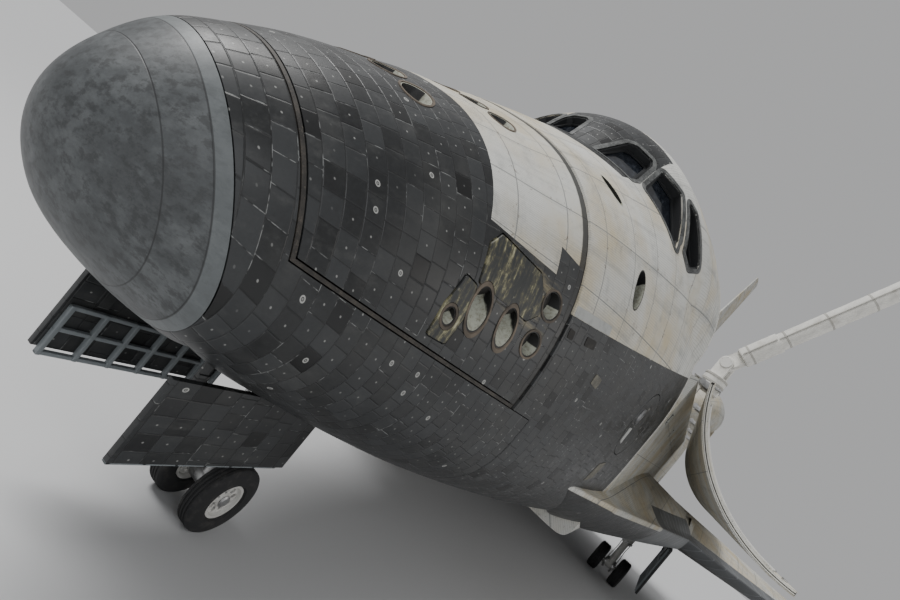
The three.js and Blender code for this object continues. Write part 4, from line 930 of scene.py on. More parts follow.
print("shaping the nose and cabin")
outerBody = foreBody("outer_body")
innerBody = foreBody("inner_body", -6.0, 60, 16)
proudBody = foreBody("proud_body", 0.3, 80, 20)
deepBody = foreBody("deep_body", -0.9, 80, 20)
capNormal = Vector((1, 0, -seams["capSlope"])).normalized()
capPoint = at(seams["capStation"], 0, seams["capHeight"])
seamGap = {"cap": 0.3, "module": 1.95, "ring": 1.15, "strip": (0.4, 1.5)}

noseCap = keepSide(cloneOf(outerBody, "nose_cap_skin"), capPoint + capNormal * seamGap["cap"], capNormal)
finished(noseCap, "nose_cap_skin", "orbiter", "carbon", ["nose_cap"])
behindCap = keepSide(cloneOf(outerBody, "behind_cap"), capPoint, -capNormal)
moduleSkin = common(cloneOf(behindCap, "module_skin"),
                    modulePrism(seamGap["module"], seams["moduleAft"] - seamGap["ring"]))
lowerSkin = without(between(behindCap, aft=seams["wellAft"]), modulePrism(0.0, 430))
edgeStrip = without(cloneOf(outerBody, "edge_strip"), deepBody, keep=True)
edgeStrip = common(edgeStrip, modulePrism(seamGap["strip"][0], seams["moduleAft"] - seamGap["ring"]))
edgeStrip = without(edgeStrip, modulePrism(seamGap["strip"][1], 400))
finished(edgeStrip, "module_edge_strip", "orbiter", "edgeStrip")
wheelWell = boxOf((290, 386), (-24, 24), (250, 326))
lowerSkin = without(lowerSkin, wheelWell)
cabinSkin = between(cloneOf(outerBody, "cabin_skin"), seams["moduleAft"] + seamGap["ring"], 578)
cabinSkin = without(cabinSkin, prismOf([(360, 200), (392.3, 200), (392.3, 337.8), (360, 337.8)]))
hollow = between(cloneOf(innerBody, "hollow"), 398)
cabinSkin = without(cabinSkin, hollow)

# Thruster openings: station, port, height, radius, way across and up, depth of the cover, reach outside
thrusters = {"wall": 0.35, "rim": 0.85, "cover": 0.45, "rows": [
    (306.7, 14.7, 393.0, 5.4, 0.0, 1.0, 6.5, 9), (306.7, 0.0, 394.5, 5.4, 0.0, 1.0, 6.5, 9),
    (350.9, 15.0, 413.5, 5.4, 0.0, 1.0, 6.5, 9), (350.9, 0.0, 415.0, 5.4, 0.0, 1.0, 6.5, 9),
    (365.3, 67.9, 374.0, 5.0, 1.0, 0.15, 6.0, 7), (364.5, 71.0, 359.4, 4.6, 1.0, 0.05, 6.0, 7),
    (334.6, 61.6, 357.2, 4.6, 0.75, -0.66, 13.5, 19), (349.4, 66.4, 358.2, 4.4, 0.75, -0.66, 12.5, 18),
    (325.2, 59.1, 350.4, 2.6, 1.0, -0.45, 4.5, 6)]}


def thrusterCones(grow, deeper=0.0, side=1):
    cones = []
    for station, port, height, radius, across, up, deep, reach in thrusters["rows"]:
        if side < 0 and port == 0:
            continue
        way = Vector((0, across * side, up)).normalized()
        mouth = at(station, port * side, height)
        cones.append(barOf(mouth - way * (deep + deeper), mouth + way * reach, radius * 0.84 + grow,
                           radius * 1.12 + grow, 40))
    return joinAll(cones) if len(cones) > 1 else cones[0]


def bothCones(grow, deeper=0.0):
    return joinAll([thrusterCones(grow, deeper, side) for side in (1, -1)])


moduleSkin = without(moduleSkin, bothCones(0.12, 2.0))
cups = bothCones(0.0, 0.6)
cups = without(cups, bothCones(-thrusters["wall"], -0.1))
cups = common(cups, outerBody, keep=True)
finished(cups, "thruster_cups", "orbiter", "cup")
covers = []
for station, port, height, radius, aside, up, deep, reach in thrusters["rows"]:
    for side in ((1, -1) if port else (1,)):
        way = Vector((0, aside * side, up)).normalized()
        mouth = at(station, port * side, height)
        covers.append(barOf(mouth - way * (deep - 0.2), mouth - way * deep * thrusters["cover"],
                            radius * 0.86,
                            radius * 0.9, 40))
        covers.append(barOf(mouth - way * deep * thrusters["cover"],
                            mouth - way * (deep * thrusters["cover"] - 0.35),
                            radius * 0.28, radius * 0.24, 24))
finished(covers, "thruster_throat_covers", "orbiter", "seal", (), 40)
rims = without(bothCones(thrusters["rim"], 0.0),
               bothCones(-0.02, 3.0))
rims = without(common(rims, proudBody, keep=True), deepBody, keep=True)

# Charred metal panels round the slanted openings, in station and height
charPanels = {"groove": 0.5, "outlines": [
    [(332.1, 379.2), (354.4, 379.4), (357.4, 376.2), (360.9, 368.6), (356.0, 364.2), (344.1, 363.9),
     (329.2, 363.4), (328.0, 374.4)],
    [(323.6, 362.6), (328.9, 362.2), (330.6, 352.0), (330.0, 343.0), (322.0, 342.5), (321.4, 352.5)]]}
plates, grooves = [], []
for side in (1, -1):
    for outline in charPanels["outlines"]:
        corners = [at(station, side * 30, height) for station, height in outline]
        plates.append(plateOf(roundedOutline(corners, 0.9), 0, side * 80, across))
        grooves.append(plateOf(roundedOutline(corners, 1.2, charPanels["groove"]), 0, side * 80, across))
panelRoom = without(joinAll(grooves), deepBody, keep=True)
moduleSkin = without(moduleSkin, panelRoom)
charPlate = without(common(joinAll(plates), proudBody, keep=True), deepBody, keep=True)
charPlate = without(charPlate, bothCones(thrusters["rim"] + 0.1, 2.0))
finished(charPlate, "charred_panels", "orbiter", "charred")
finished(rims, "thruster_rims", "orbiter", "rim")
finished(moduleSkin, "thruster_module_skin", "orbiter", "fore", ["forward_thruster_module"])
finished(lowerSkin, "lower_nose_skin", "orbiter", "fore", ["lower_nose"])

# The recessed dark joint between the module and the cabin
joint = between(cloneOf(deepBody, "joint_ring"), 375.8, 380.2)
joint = without(joint, foreBody("joint_hollow", -2.4, 60, 16))
joint = keepSide(joint, at(370, 0, 337.6), upward)
finished(joint, "module_joint_ring", "orbiter", "seal")

# Windows of one side: corners in station, port, height
panes = {"corner": 2.0, "wall": 0.9, "lip": 2.2, "depth": 6.6, "edge": 2.6, "rows": [
    [(440.5, 9, 455.8), (460.5, 13.2, 475.2), (464.5, 16.5, 477.3), (469.4, 26.6, 476.3),
     (467.8, 29, 472.9),
     (455, 31.3, 458.2), (446, 31.5, 454.2)],
    [(457.7, 37.3, 457.2), (472.9, 33.2, 475.4), (481.5, 47, 473.5), (480.5, 61.5, 451.5),
     (474, 64.5, 443.6)],
    [(487.1, 49.5, 474.3), (494.4, 56.2, 472.5), (501.3, 74.8, 450.3), (492, 71.5, 444.7),
     (486.1, 66.6, 449)],
    [(508, 8, 501), (530, 8, 502), (530, 30, 497), (508, 30, 496)]]}


def windowPieces(side):
    found = {"cut": [], "frame": [], "glass": [], "surround": []}
    for row in panes["rows"]:
        corners = [at(s, p * side, h) for s, p, h in row]
        way = outlineNormal(corners)
        if way.dot(at(470, 0, 380) - corners[0]) > 0:
            way = -way
        middle = sum(corners, Vector()) / len(corners)
        flat = [corner - way * (corner - middle).dot(way) for corner in corners]
        hole = roundedOutline(flat, panes["corner"])
        inner = roundedOutline(flat, panes["corner"] - panes["wall"], -panes["wall"])
        lip = roundedOutline(flat, 0.6, -panes["lip"])
        found["cut"].append(plateOf(hole, -14, 14, way))
        wall = frameOf(roundedOutline(flat, panes["corner"], -0.03), inner, -panes["depth"], 6, way)
        found["frame"].append(common(wall, deepBody, keep=True))
        found["frame"].append(frameOf(inner, lip, -4.6, -3.6, way))
        found["frame"].append(frameOf(inner, lip, -panes["depth"], -panes["depth"] + 0.9, way))
        found["glass"].append(plateOf(roundedOutline(flat, 1.0, -1.1), -5.4, -4.9, way))
        outside = roundedOutline(flat, panes["corner"] + panes["edge"], panes["edge"])
        found["surround"].append(frameOf(outside, roundedOutline(flat, panes["corner"], 0.0), -8, 8, way))
    return found


print("cutting the windows")
port, starboard = windowPieces(1), windowPieces(-1)
for cutter in port["cut"] + starboard["cut"]:
    cabinSkin = without(cabinSkin, cutter)
finished(port["frame"] + starboard["frame"], "window_frames", "orbiter", "frame")
finished(port["glass"] + starboard["glass"], "window_panes", "orbiter", "glass", ["cabin_glass"])
surrounds = common(joinAll([s for pieces in (port, starboard) for s in pieces["surround"][:3]]), proudBody,
                   keep=True)
surrounds = without(surrounds, deepBody, keep=True)
finished(surrounds, "window_surrounds", "orbiter", "surround")
for left in [s for pieces in (port, starboard) for s in pieces["surround"][3:]]:
    bpy.data.objects.remove(left)

# Star tracker opening on the port side and its twin nearer the crown
trackers = {"rings": (0.1, 0.0, -0.5),
            "rows": [((427, 74, 408), (0.42, 0.72, 0.55), (0, 0, 1), 9.6, 5.2, 9.0),
                     ((409, 42, 432.5), (0.5, 0.45, 0.74), (-7.2, 12.4, -3.5), 8.2, 3.4, 2.0)]}


def ovalRing(centre, along, aside, long, wide):
    return [centre + along * math.cos(a) * long + aside * math.sin(a) * wide for a in turns(40)]


linings = []
for centre, way, length, long, wide, deep in trackers["rows"]:
    out = Vector(way).normalized()
    along = (Vector(length) - out * out.dot(Vector(length))).normalized()
    ovals = [ovalRing(at(*centre), along, out.cross(along), long + grow, wide + grow)
             for grow in trackers["rings"]]
    cabinSkin = without(cabinSkin, plateOf(ovals[0], -deep - 1, 12, out))
    lining = without(plateOf(ovals[1], -deep - 0.6, 3, out), plateOf(ovals[2], -deep, 4, out))
    linings.append(common(lining, outerBody, keep=True))
finished(linings, "star_tracker_linings", "orbiter", "cup")

# Side hatch with its round window
hatch = {"centre": (520, 99.5, 365), "radius": 20.0, "gap": 0.5, "window": (511, 99.5, 369),
         "windowRadius": 5.0}


def barAcross(centre, radius, low, high, sides=64):
    return barOf(at(*centre) + across * low, at(*centre) + across * high, radius, radius, sides)


cabinSkin = without(cabinSkin, barAcross(hatch["centre"], hatch["radius"] + hatch["gap"], -16, 16, 96))
hatchSkin = common(barAcross(hatch["centre"], hatch["radius"], -16, 16, 96), outerBody, keep=True)
hatchSkin = without(hatchSkin, foreBody("hatch_depth", -5.0, 60, 16))
hatchSkin = without(hatchSkin, barAcross(hatch["window"], hatch["windowRadius"], -16, 16))
finished(hatchSkin, "side_hatch_skin", "side_hatch", "fore", ["side_hatch"])
ringOut, ringIn = hatch["windowRadius"] - 0.04, hatch["windowRadius"] - 0.55
hatchRing = without(barAcross(hatch["window"], ringOut, -4.6, -0.9),
                    barAcross(hatch["window"], ringIn, -9, 9))
finished(hatchRing, "hatch_window_wall", "side_hatch", "seal")
hatchRim = without(barAcross(hatch["window"], ringOut, -0.88, 0.1),
                   barAcross(hatch["window"], ringIn + 0.1, -9, 9))
finished(hatchRim, "hatch_window_ring", "side_hatch", "steel")
hatchPane = plateOf([at(hatch["window"][0] + math.cos(a) * 4.4, 95.6,
                        hatch["window"][2] + math.sin(a) * 4.4)
                     for a in turns(48)], -0.25, 0.25)
finished(hatchPane, "hatch_window_pane", "side_hatch", "glass")
finished(cabinSkin, "crew_cabin_skin", "orbiter", "fore", ["crew_cabin"])

# Small plates and ports let into the side tiles, in station and height
sidePlates = {"round": 0.6, "rows": [
    ("cabin_edge_strip", "pale", "white_tile",
     [(379.8, 377.5), (410, 382.5), (410, 386.3), (379.8, 381.3)]),
    ("lower_side_panel", "panel", "black_tile", [(501, 324), (512.5, 327), (515, 338.5), (504, 336)]),
    ("small_side_panel", "panel", "black_tile", [(416.5, 363.4), (424, 363), (424.4, 367.6), (417, 368)]),
    ("side_ports", "seal", "black_tile", [(381.4, 369.9), (385.2, 370.2), (385, 373.6), (381.2, 373.4)]),
    ("side_port_pair", "seal", "black_tile",
     [(394.6, 372.2), (402.9, 373.6), (402.6, 377), (394.4, 375.8)])]}
flush = without(cloneOf(proudBody, "flush_shell"), deepBody, keep=True)


def sideCard(row, side):
    corners = [at(station, side * 30, height) for station, height in row]
    return plateOf(roundedOutline(corners, sidePlates["round"]), 0, side * 90, across)


for name, finish, slotName, row in sidePlates["rows"]:
    cards = joinAll([sideCard(row, 1), sideCard(row, -1)])
    finished(common(cards, flush, keep=True), name, "orbiter", finish)
hatchCard = sideCard([(506, 352.5), (511, 351), (510.5, 361.5), (505, 361)], 1)
finished(common(hatchCard, flush), "hatch_light_panel", "side_hatch", "pale")
for spare in (outerBody, innerBody, proudBody, deepBody):
    bpy.data.objects.remove(spare)

print("shaping the bay and its doors")


# A closed outline in port and height, drawn out along the fuselage
def crossPrism(outline, fore, aft):
    return plateOf([at(aft, side, height) for side, height in outline], 0, aft - fore, forward)


def arcPoints(radius, start, end, steps, centre=(0.0, 400.0)):
    turns = [math.radians(start + (end - start) * k / steps) for k in range(steps + 1)]
    return [(centre[0] + math.cos(a) * radius, centre[1] + math.sin(a) * radius) for a in turns]


def arcStrip(outside, inside, start, end, steps=48):
    return arcPoints(outside, start, end, steps) + arcPoints(inside, end, start, steps)


# A round line through points, its rings turned along the way
def tubeAlong(points, radius, sides=12):
    rings = []
    for k, point in enumerate(points):
        way = (points[min(k + 1, len(points) - 1)] - points[max(k - 1, 0)]).normalized()
        aside = way.cross(Vector((0.31, 0.17, 0.93))).normalized()
        other = way.cross(aside)
        rings.append([point + (aside * math.cos(a) + other * math.sin(a)) * radius
                      for a in turns(sides)])
    return wrapRings("tube", rings)


def rounded(obj, width, segments=2, angle=35):
    edge = obj.modifiers.new("edge", "BEVEL")
    edge.width, edge.segments = width, segments
    edge.limit_method, edge.angle_limit = "ANGLE", math.radians(angle)
    return applyModifiers(obj)


# The shape of a CAD node in airframe inches, merged, its flat faces joined and its edges rounded
def copyOfNode(name, width=0.25, segments=2):
    copy = cloneOf(bpy.data.objects[name], name + "_copy")
    copy.parent = None
    copy.matrix_world = Matrix.Identity(4)
    copy.data.transform(toRow.inverted())
    onlySelect(copy)
    bpy.ops.object.mode_set(mode="EDIT")
    bpy.ops.mesh.select_all(action="SELECT")
    bpy.ops.mesh.remove_doubles(threshold=0.002)
    bpy.ops.mesh.dissolve_limited(angle_limit=math.radians(0.6))
    bpy.ops.object.mode_set(mode="OBJECT")
    return rounded(copy, width, segments) if width else copy


def bothFinished(obj, name, bodies, finish, nodes=(), smooth=28.0):
    obj = joinAll(obj) if isinstance(obj, list) else obj
    bodies = (bodies, bodies) if isinstance(bodies, str) else bodies
    twin = mirrorPort(obj, name + "_right")
    for piece, side, body in ((obj, "_left", bodies[0]), (twin, "_right", bodies[1])):
        finished(piece, name + side, body, finish, [node + side for node in nodes], smooth)


bay = {"ends": (582, 1306.5), "row": (426, 279, 370, 105, 24, 24), "radius": 92, "sill": 414,
       "vents": (610, 757, 905, 1052, 1200), "vent": (18, 9, 384), "frame": (88.6, 2.6),
       "frames": (636, 693, 750, 807, 863, 919, 979, 1040, 1090, 1140, 1191, 1249)}
bayShape = [(130, 560), (130, bay["sill"])] + arcPoints(bay["radius"], 8.75, -188.75,
                                                        120) + [(-130, bay["sill"]), (-130, 560)]
midSkin = wrapRings("mid_skin", [hullRing((station, *bay["row"])) for station in bay["ends"]])
midSkin = without(midSkin, crossPrism(bayShape, 570, 1320))
midSkin = without(midSkin, boxOf((670.7, 688.3), (92.5, 104), (412.4, 420)))
ventRooms, ventDoors = [], []
for station in bay["vents"]:
    for side in (1, -1):
        long, tall, level = bay["vent"]
        ports = sorted((side * 103.6, side * 107))
        ventRooms.append(boxOf((station - long / 2, station + long / 2), ports,
                               (level - tall / 2, level + tall / 2), 1.2))
        slats = []
        for k in range(3):
            low = level - tall / 2 + 0.5 + k * 2.85
            slats.append(boxOf((station - long / 2 + 0.4, station + long / 2 - 0.4),
                               sorted((side * 103.55, side * 104.5)), (low, low + 2.3), 0.3, 2))
        ventDoors += slats
midSkin = without(midSkin, joinAll(ventRooms))
finished(midSkin, "mid_fuselage_skin", "orbiter", "bodySkin", ["mid_fuselage"], 24)
finished(ventDoors, "vent_slats", "orbiter", "surround")
finished(crossPrism(arcStrip(91.9, 91.4, -2, -178, 96), 583, 1305.5), "bay_liner_sheet", "orbiter", "liner",
         (), 20)
ribs = [crossPrism(arcStrip(91.5, bay["frame"][0], -1, -179, 72), station, station + bay["frame"][1])
        for station in bay["frames"]]
finished(rounded(joinAll(ribs), 0.35), "bay_frames", "orbiter", "cabin", (), 30)
trays = [crossPrism(arcStrip(91.3, 87.2, start, start - 4.5, 4), 590, 1298) for start in (-14, -36, -139.5,
    -161.5)]
trays += [crossPrism([(-9, 309.5), (9, 309.5), (8, 314), (-8, 314)], 600, 1290)]
finished(rounded(joinAll(trays), 0.5), "cable_trays", "orbiter", "paint", (), 30)
sills = []
for side in (1, -1):
    sills.append(boxOf((590, 1298), sorted((side * 93, side * 95.2)), (413.9, 414.9), 0.3))
    for k in range(26):
        station = 598 + k * 27
        if side < 0 or abs(station - 679) > 14:
            sills.append(boxOf((station, station + 7), sorted((side * 96.2, side * 101)), (413.9, 415.3),
                               0.5))
            sills.append(barOf(at(station + 3.5, side * 98.6, 415), at(station + 3.5, side * 98.6, 416),
                               1.1, 1.0, 16))
finished(sills, "sill_rails_and_fittings", "orbiter", "steel")

door = {"bodies": ("orbiter", "bay_door_right"), "hinge": (105, 420), "open": 175.5,
        "outer": 102, "inner": 98.5, "sheet": 0.75, "first": 13.0, "last": 89.8,
        "ends": (583, 1305.5), "segments": 5, "gap": 0.3, "straps": (620, 155, 5, 12), "rope": 0.42,
        "radiator": (590, 1290, 4, 20.7, 82.1)}


# Points of the closed door swung open about its hinge
def opened(outline):
    c, s = math.cos(math.radians(-door["open"])), math.sin(math.radians(-door["open"]))
    hingePort, hingeHeight = door["hinge"]
    shifted = [(p - hingePort, h - hingeHeight) for p, h in outline]
    return [(hingePort + p * c - h * s, hingeHeight + p * s + h * c) for p, h in shifted]


def doorStrip(outside, inside, start, end, fore, aft, steps=48):
    return crossPrism(opened(arcStrip(outside, inside, start, end, steps)), fore, aft)


def segmentsOf(ends, count, gap):
    pitch = (ends[1] - ends[0]) / count
    return [(ends[0] + pitch * k + (gap / 2 if k else 0),
             ends[0] + pitch * (k + 1) - (gap / 2 if k < count - 1 else 0))
            for k in range(count)]


skins = []
for fore, aft in segmentsOf(door["ends"], door["segments"], door["gap"]):
    skins.append(doorStrip(door["outer"], door["outer"] - door["sheet"], door["first"], door["last"], fore,
                           aft))
    skins.append(doorStrip(door["inner"] + door["sheet"], door["inner"], door["first"], door["last"], fore,
                           aft))
bothFinished(rounded(joinAll(skins), 0.2), "bay_door_skins", door["bodies"], "doorSkin",
             ["bay_door"], 24)
core = doorStrip(door["outer"] - door["sheet"], door["inner"] + door["sheet"], door["first"] + 0.2,
                 door["last"] - 0.15, 583.2, 1305.3)
bothFinished(core, "bay_door_seal_band", door["bodies"], "seal", (), 24)
middle = (door["outer"] + door["inner"]) / 2
ropes = []
for radius in (middle + 0.55, middle - 0.75):
    arc = opened(arcPoints(radius, door["first"] + 1, door["last"] - 0.4, 60))
    ropes += [tubeAlong([at(station, p, h) for p, h in arc], door["rope"], 8)
              for station in (583.1, 1305.4)]
edge = opened([arcPoints(middle, door["last"] - 0.05, 89.7, 1)[0]])[0]
ropes.append(tubeAlong([at(584 + 24 * k, *edge) for k in range(31)], door["rope"], 8))
bothFinished(ropes, "bay_door_seal_ropes", door["bodies"], "rope", (), 60)
straps = []
for k in range(door["straps"][2]):
    fore = door["straps"][0] + k * door["straps"][1]
    aft = fore + door["straps"][3]
    hingePort, hingeHeight = door["hinge"]
    straps.append(barOf(at(fore, hingePort, hingeHeight), at(aft, hingePort, hingeHeight), 2.0, 2.0, 32))
    straps.append(boxOf((fore + 0.3, aft - 0.3), (hingePort, hingePort + 8),
                        (hingeHeight - 3, hingeHeight + 1), 0.6))
    straps += [barOf(at(fore + reach, hingePort, hingeHeight),
                     at(fore + reach + 0.9, hingePort, hingeHeight), 2.35, 2.35, 32)
               for reach in (1.2, 5.6, 10)]
bothFinished(straps, "bay_door_hinges", door["bodies"], "steel")
latches = []
for k in range(17):
    spot = opened(arcPoints(97.9, 86.3, 87.9, 1))
    station = 600 + 42.5 * k
    latches.append(boxOf((station, station + 6), sorted((spot[0][0], spot[1][0])),
                         (spot[0][1] - 0.7, spot[0][1] + 0.7), 0.3))
bothFinished(latches, "bay_door_latches", door["bodies"], "steel")
fore, aft, count, start, end = door["radiator"]
sheets, rims, hoses = [], [], []
for first, last in segmentsOf((fore, aft), count, 2.4):
    sheets.append(doorStrip(98.3, 97.2, start + 0.5, end - 0.5, first + 0.8, last - 0.8))
    for low, high in ((start, start + 0.8), (end - 0.8, end)):
        rims.append(doorStrip(98.46, 96.9, low, high, first, last, 2))
    for a, b in ((first, first + 1.3), (last - 1.3, last)):
        rims.append(doorStrip(98.45, 96.92, start, end, a, b))
    if last < aft - 5:
        for turn in (start + 4, end - 4):
            spots = [opened(arcPoints(97.0 - 2.2 * math.sin(math.pi * i / 8), turn, turn + 0.1, 1))[0]
                     for i in range(9)]
            hoses.append(tubeAlong([at(last - 4 + 10.4 * i / 8, p, h) for i, (p, h) in enumerate(spots)],
                                   0.55, 10))
bothFinished(sheets, "radiator_sheets", door["bodies"], "radiator", ["radiator"], 24)
bothFinished(rounded(joinAll(rims), 0.25), "radiator_rims", door["bodies"], "paint", (), 30)
bothFinished(hoses, "radiator_hoses", door["bodies"], "steel", (), 60)


def tailRings(stations, grow=0.0, quarter=24):
    return [hullRing(smoothRow(tail["rows"], s), grow, quarter) for s in stations]


# Corners of a rear window in the forward bulkhead
def rearCorners(side):
    return [at(580, side * p, h) for p, h in ((6, 452), (6, 468), (26, 466), (26, 450))]


# Bulkheads that close the bay at both ends
foreWall = between(foreBody("fore_wall"), 578.02, 581.98)
airlock = {"height": 365, "radius": 20}
foreWall = without(foreWall, barOf(at(570, 0, airlock["height"]), at(590, 0, airlock["height"]),
                                   airlock["radius"], None, 72))
for side in (1, -1):
    foreWall = without(foreWall, plateOf(roundedOutline(rearCorners(side), 3), -8, 8))
finished(rounded(combine(foreWall, boxOf((581, 599), (-83, -73), (414, 420), 0.6), "UNION"), 0.2),
         "forward_wall", "orbiter",
         "liner", ["forward_bulkhead"])
trims = [frameOf(roundedOutline(rearCorners(side), 4.5, 2.2), roundedOutline(rearCorners(side), 3, -0.4),
                 -3.4, 3.0)
         for side in (1, -1)]
trims.append(turnedOf([(0, 19.6), (0, 24), (-1.4, 24), (-1.4, 22), (-2.2, 21.4), (-2.2, 19.6), (0, 19.6)],
                      at(581.9, 0, airlock["height"]), forward, 72))
for a in turns(24):
    spot = at(583.4, math.cos(a) * 23, airlock["height"] + math.sin(a) * 23)
    trims.append(barOf(spot, spot - forward * 0.9, 0.55, 0.5, 6))
finished(trims, "forward_wall_trim", "orbiter", "steel")
aftWall = wrapRings("aft_wall", tailRings((1307.0, 1313.4), 0.0, 30))
wallRibs = [boxOf((1305.2, 1307.2), (p - 0.9, p + 0.9), (300, 496 - abs(p) * 0.85), 0.3)
            for p in range(-80, 81, 16)]
wallRibs += [boxOf((1304.9, 1307.2), (-82, 82), (h - 0.9, h + 0.9), 0.3) for h in range(312, 420, 18)]
finished(rounded(aftWall, 0.3), "aft_wall", "orbiter", "liner", ["aft_bulkhead"])
finished(wallRibs, "aft_wall_ribs", "orbiter", "paint")

print("shaping the wings")

# Sections: port, leading edge, trailing edge, underside height, thickness, nose rise
wing = {"rows": [
    (88, 466, 1507, 279, 63, 38), (105, 520, 1506, 279, 60, 38), (117, 588, 1504, 279, 58, 36),
    (150, 785, 1498, 280, 51, 31),
    (188, 1024, 1492, 281.5, 45, 24), (312, 1148, 1470, 290, 31, 16), (440, 1276, 1447, 298, 18.5, 10.5),
    (468.3, 1304.3, 1442.2, 300, 13, 8)],
    "chord": [(0, 0), (0.012, 0.2), (0.045, 0.42), (0.12, 0.7), (0.26, 0.93), (0.42, 1), (0.6, 0.93),
              (0.75, 0.7),
              (0.88, 0.42), (1, 0.05)],
    "steps": 56, "hinge": 1387, "clear": 0.4, "swing": 37, "well": ((1056, 1196), (109, 180), (250, 326)),
    "edge": ((785, 129.8), (1043.7, 170.9), (1352.8, 480)), "seals": 22,
    "sealRuns": ((0, 0.36, (815, 155), (209, 33), (239, 38, 0)),
                 (0.36, 0.64, (1032, 196), (264, 264), (280.3, 280.3, 0)))}


# Thickness share at a share of the chord: eased in the square root near the nose, straight over the elevons
def chordPart(share):
    rows = wing["chord"]
    k = min(max(i for i, row in enumerate(rows) if row[0] <= share), len(rows) - 2)
    (start, low), (end, high) = rows[k], rows[k + 1]
    straight = low + (high - low) * (share - start) / (end - start)
    if share >= rows[7][0]:
        return straight
    curved = smoothRow([(math.sqrt(a), b) for a, b in rows], math.sqrt(share))[1]
    blend = min(max((rows[7][0] - share) / 0.1, 0), 1)
    return straight + (curved - straight) * blend


def wingRing(row, grow=0.0):
    port, lead, trail, under, thick, rise = row
    shares = [(k / wing["steps"]) ** 1.8 for k in range(wing["steps"] + 1)]
    upper, lower = [], []
    for share in shares:
        lift = rise * max(0, 1 - share / 0.2) ** 2
        part = chordPart(share)
        station = lead + share * (trail - lead) - (grow if share == 0 else 0)
        upper.append(at(station, port, under + lift + part * thick * (1 - 0.55 * lift / rise) + 0.2 + grow))
        lower.append(at(station, port, under + lift - part * lift * 0.2 - grow))
    return upper + lower[1:][::-1]


def wingBody(name, grow=0.0):
    return wrapRings(name, [wingRing(row, grow) for row in wing["rows"]])


# Upright slab through the wing, from an outline in station and port
def planPrism(outline, low=200, high=420):
    return plateOf([at(station, port, low) for station, port in outline], 0, high - low, upward)


def hingeFaces(port):
    rows = wing["rows"]
    k = min(max(i for i, row in enumerate(rows) if row[0] <= port), len(rows) - 2)
    t = (port - rows[k][0]) / (rows[k + 1][0] - rows[k][0])
    lead, trail, under, thick = [rows[k][c] + (rows[k + 1][c] - rows[k][c]) * t for c in (1, 2, 3, 4)]
    return under, under + chordPart((wing["hinge"] - lead) / (trail - lead)) * thick + 0.2


# The room that an elevon needs: all behind planes ahead of its hinge line, and a bar about that line
def elevonRoom(ports):
    heights = [sum(hingeFaces(p)) / 2 for p in (ports[0], ports[-1])]
    start, end = at(wing["hinge"], ports[0], heights[0]), at(wing["hinge"], ports[-1], heights[1])
    axis = (end - start).normalized()
    up = Vector((0, -axis.z, axis.y))
    share = math.tan(math.radians(wing["swing"] / 2))
    rings, profile = [], []
    for k, port in enumerate(ports):
        along = (port - ports[0]) / axis.y
        low, high = hingeFaces(port)
        level = start.z + along * axis.z
        radius = max(high - level, level - low)
        shift = along + (-wing["clear"] if k == 0 else wing["clear"] if k == len(ports) - 1 else 0)
        ahead = share * radius + wing["clear"]
        rings.append([start + axis * shift + Vector((x, 0, 0)) + up * z for x, z in
                      ((ahead, -90), (-170, -90), (-170, 90), (ahead, 90))])
        profile.append((shift, radius + wing["clear"]))
    bar = turnedOf([(profile[0][0], 0), *profile, (profile[-1][0], 0)], start, axis, 48)
    return wrapRings("room", rings), bar


wholeWing = wingBody("whole_wing")
aroundBody = foreBody("around_body", 0.02, 60, 16)
midCut = wrapRings("mid_cut", [hullRing((station, *bay["row"]), 0.02) for station in (581.98, 1306.52)])
tailCut = wrapRings("tail_cut", tailRings((1307, 1330, 1400, 1470, 1511.1), 0.02, 16))
for cutter in (aroundBody, midCut, tailCut, boxOf((581, 1308), (0, 100), (200, 560))):
    wholeWing = without(wholeWing, cutter)
for ports in ((118, 150, 188, 250, 311), (313, 376, 440, 456)):
    for room in elevonRoom(ports):
        wholeWing = without(wholeWing, room)
foreLine, breakLine, tipLine = wing["edge"]
edgeOutline = [foreLine, breakLine, tipLine, (foreLine[0], tipLine[1])]
backOutline = [(s + 0.35, p) for s, p in (foreLine, breakLine, tipLine)]
backOutline[0] = (foreLine[0] - 0.35, foreLine[1] - 0.1)
backOutline.append((foreLine[0] - 0.35, tipLine[1]))
wingEdge = common(cloneOf(wholeWing, "wing_edge"), planPrism(edgeOutline))
wingPanel = without(wholeWing, planPrism(backOutline))
wellStations, wellPorts, wellHeights = wing["well"]
wingPanel = without(wingPanel, boxOf(wellStations, wellPorts, (wellHeights[0], 292)))
wingPanel = without(wingPanel, common(boxOf(*wing["well"]), wingBody("inner_wing", -3.0)))
bothFinished(wingPanel, "wing_skin", "orbiter", "skin", ["wing"], 24)
bothFinished(wingEdge, "carbon_wing_edge", "orbiter", "carbonEdge", ["wing_edge"], 30)

# Narrow seal strips between the carbon panels, across the leading edge
seals = []
for k in range(wing["seals"]):
    share = (k + 0.5) / wing["seals"]
    inner, outer = wing["sealRuns"]
    start, part, foot, run, way = inner if share < inner[1] else outer
    t = (share - start) / part
    spot = Vector((foot[0] + run[0] * t, foot[1] + run[1] * t, 0))
    way = Vector(way).normalized()
    square = Vector((way.y, -way.x, 0))
    corners = [spot + way * a + square * b for a, b in ((-0.9, -60), (0.9, -60), (0.9, 60), (-0.9, 60))]
    seals.append(planPrism([(c.x, c.y) for c in corners]))
proudWing = wingBody("proud_wing", 0.16)
strips = common(common(proudWing, planPrism(edgeOutline)), joinAll(seals))
strips = without(strips, boxOf((580, 1308), (0, 106), (200, 560)))
bothFinished(strips, "carbon_seal_strips", "orbiter", "sealStrip", (), 30)

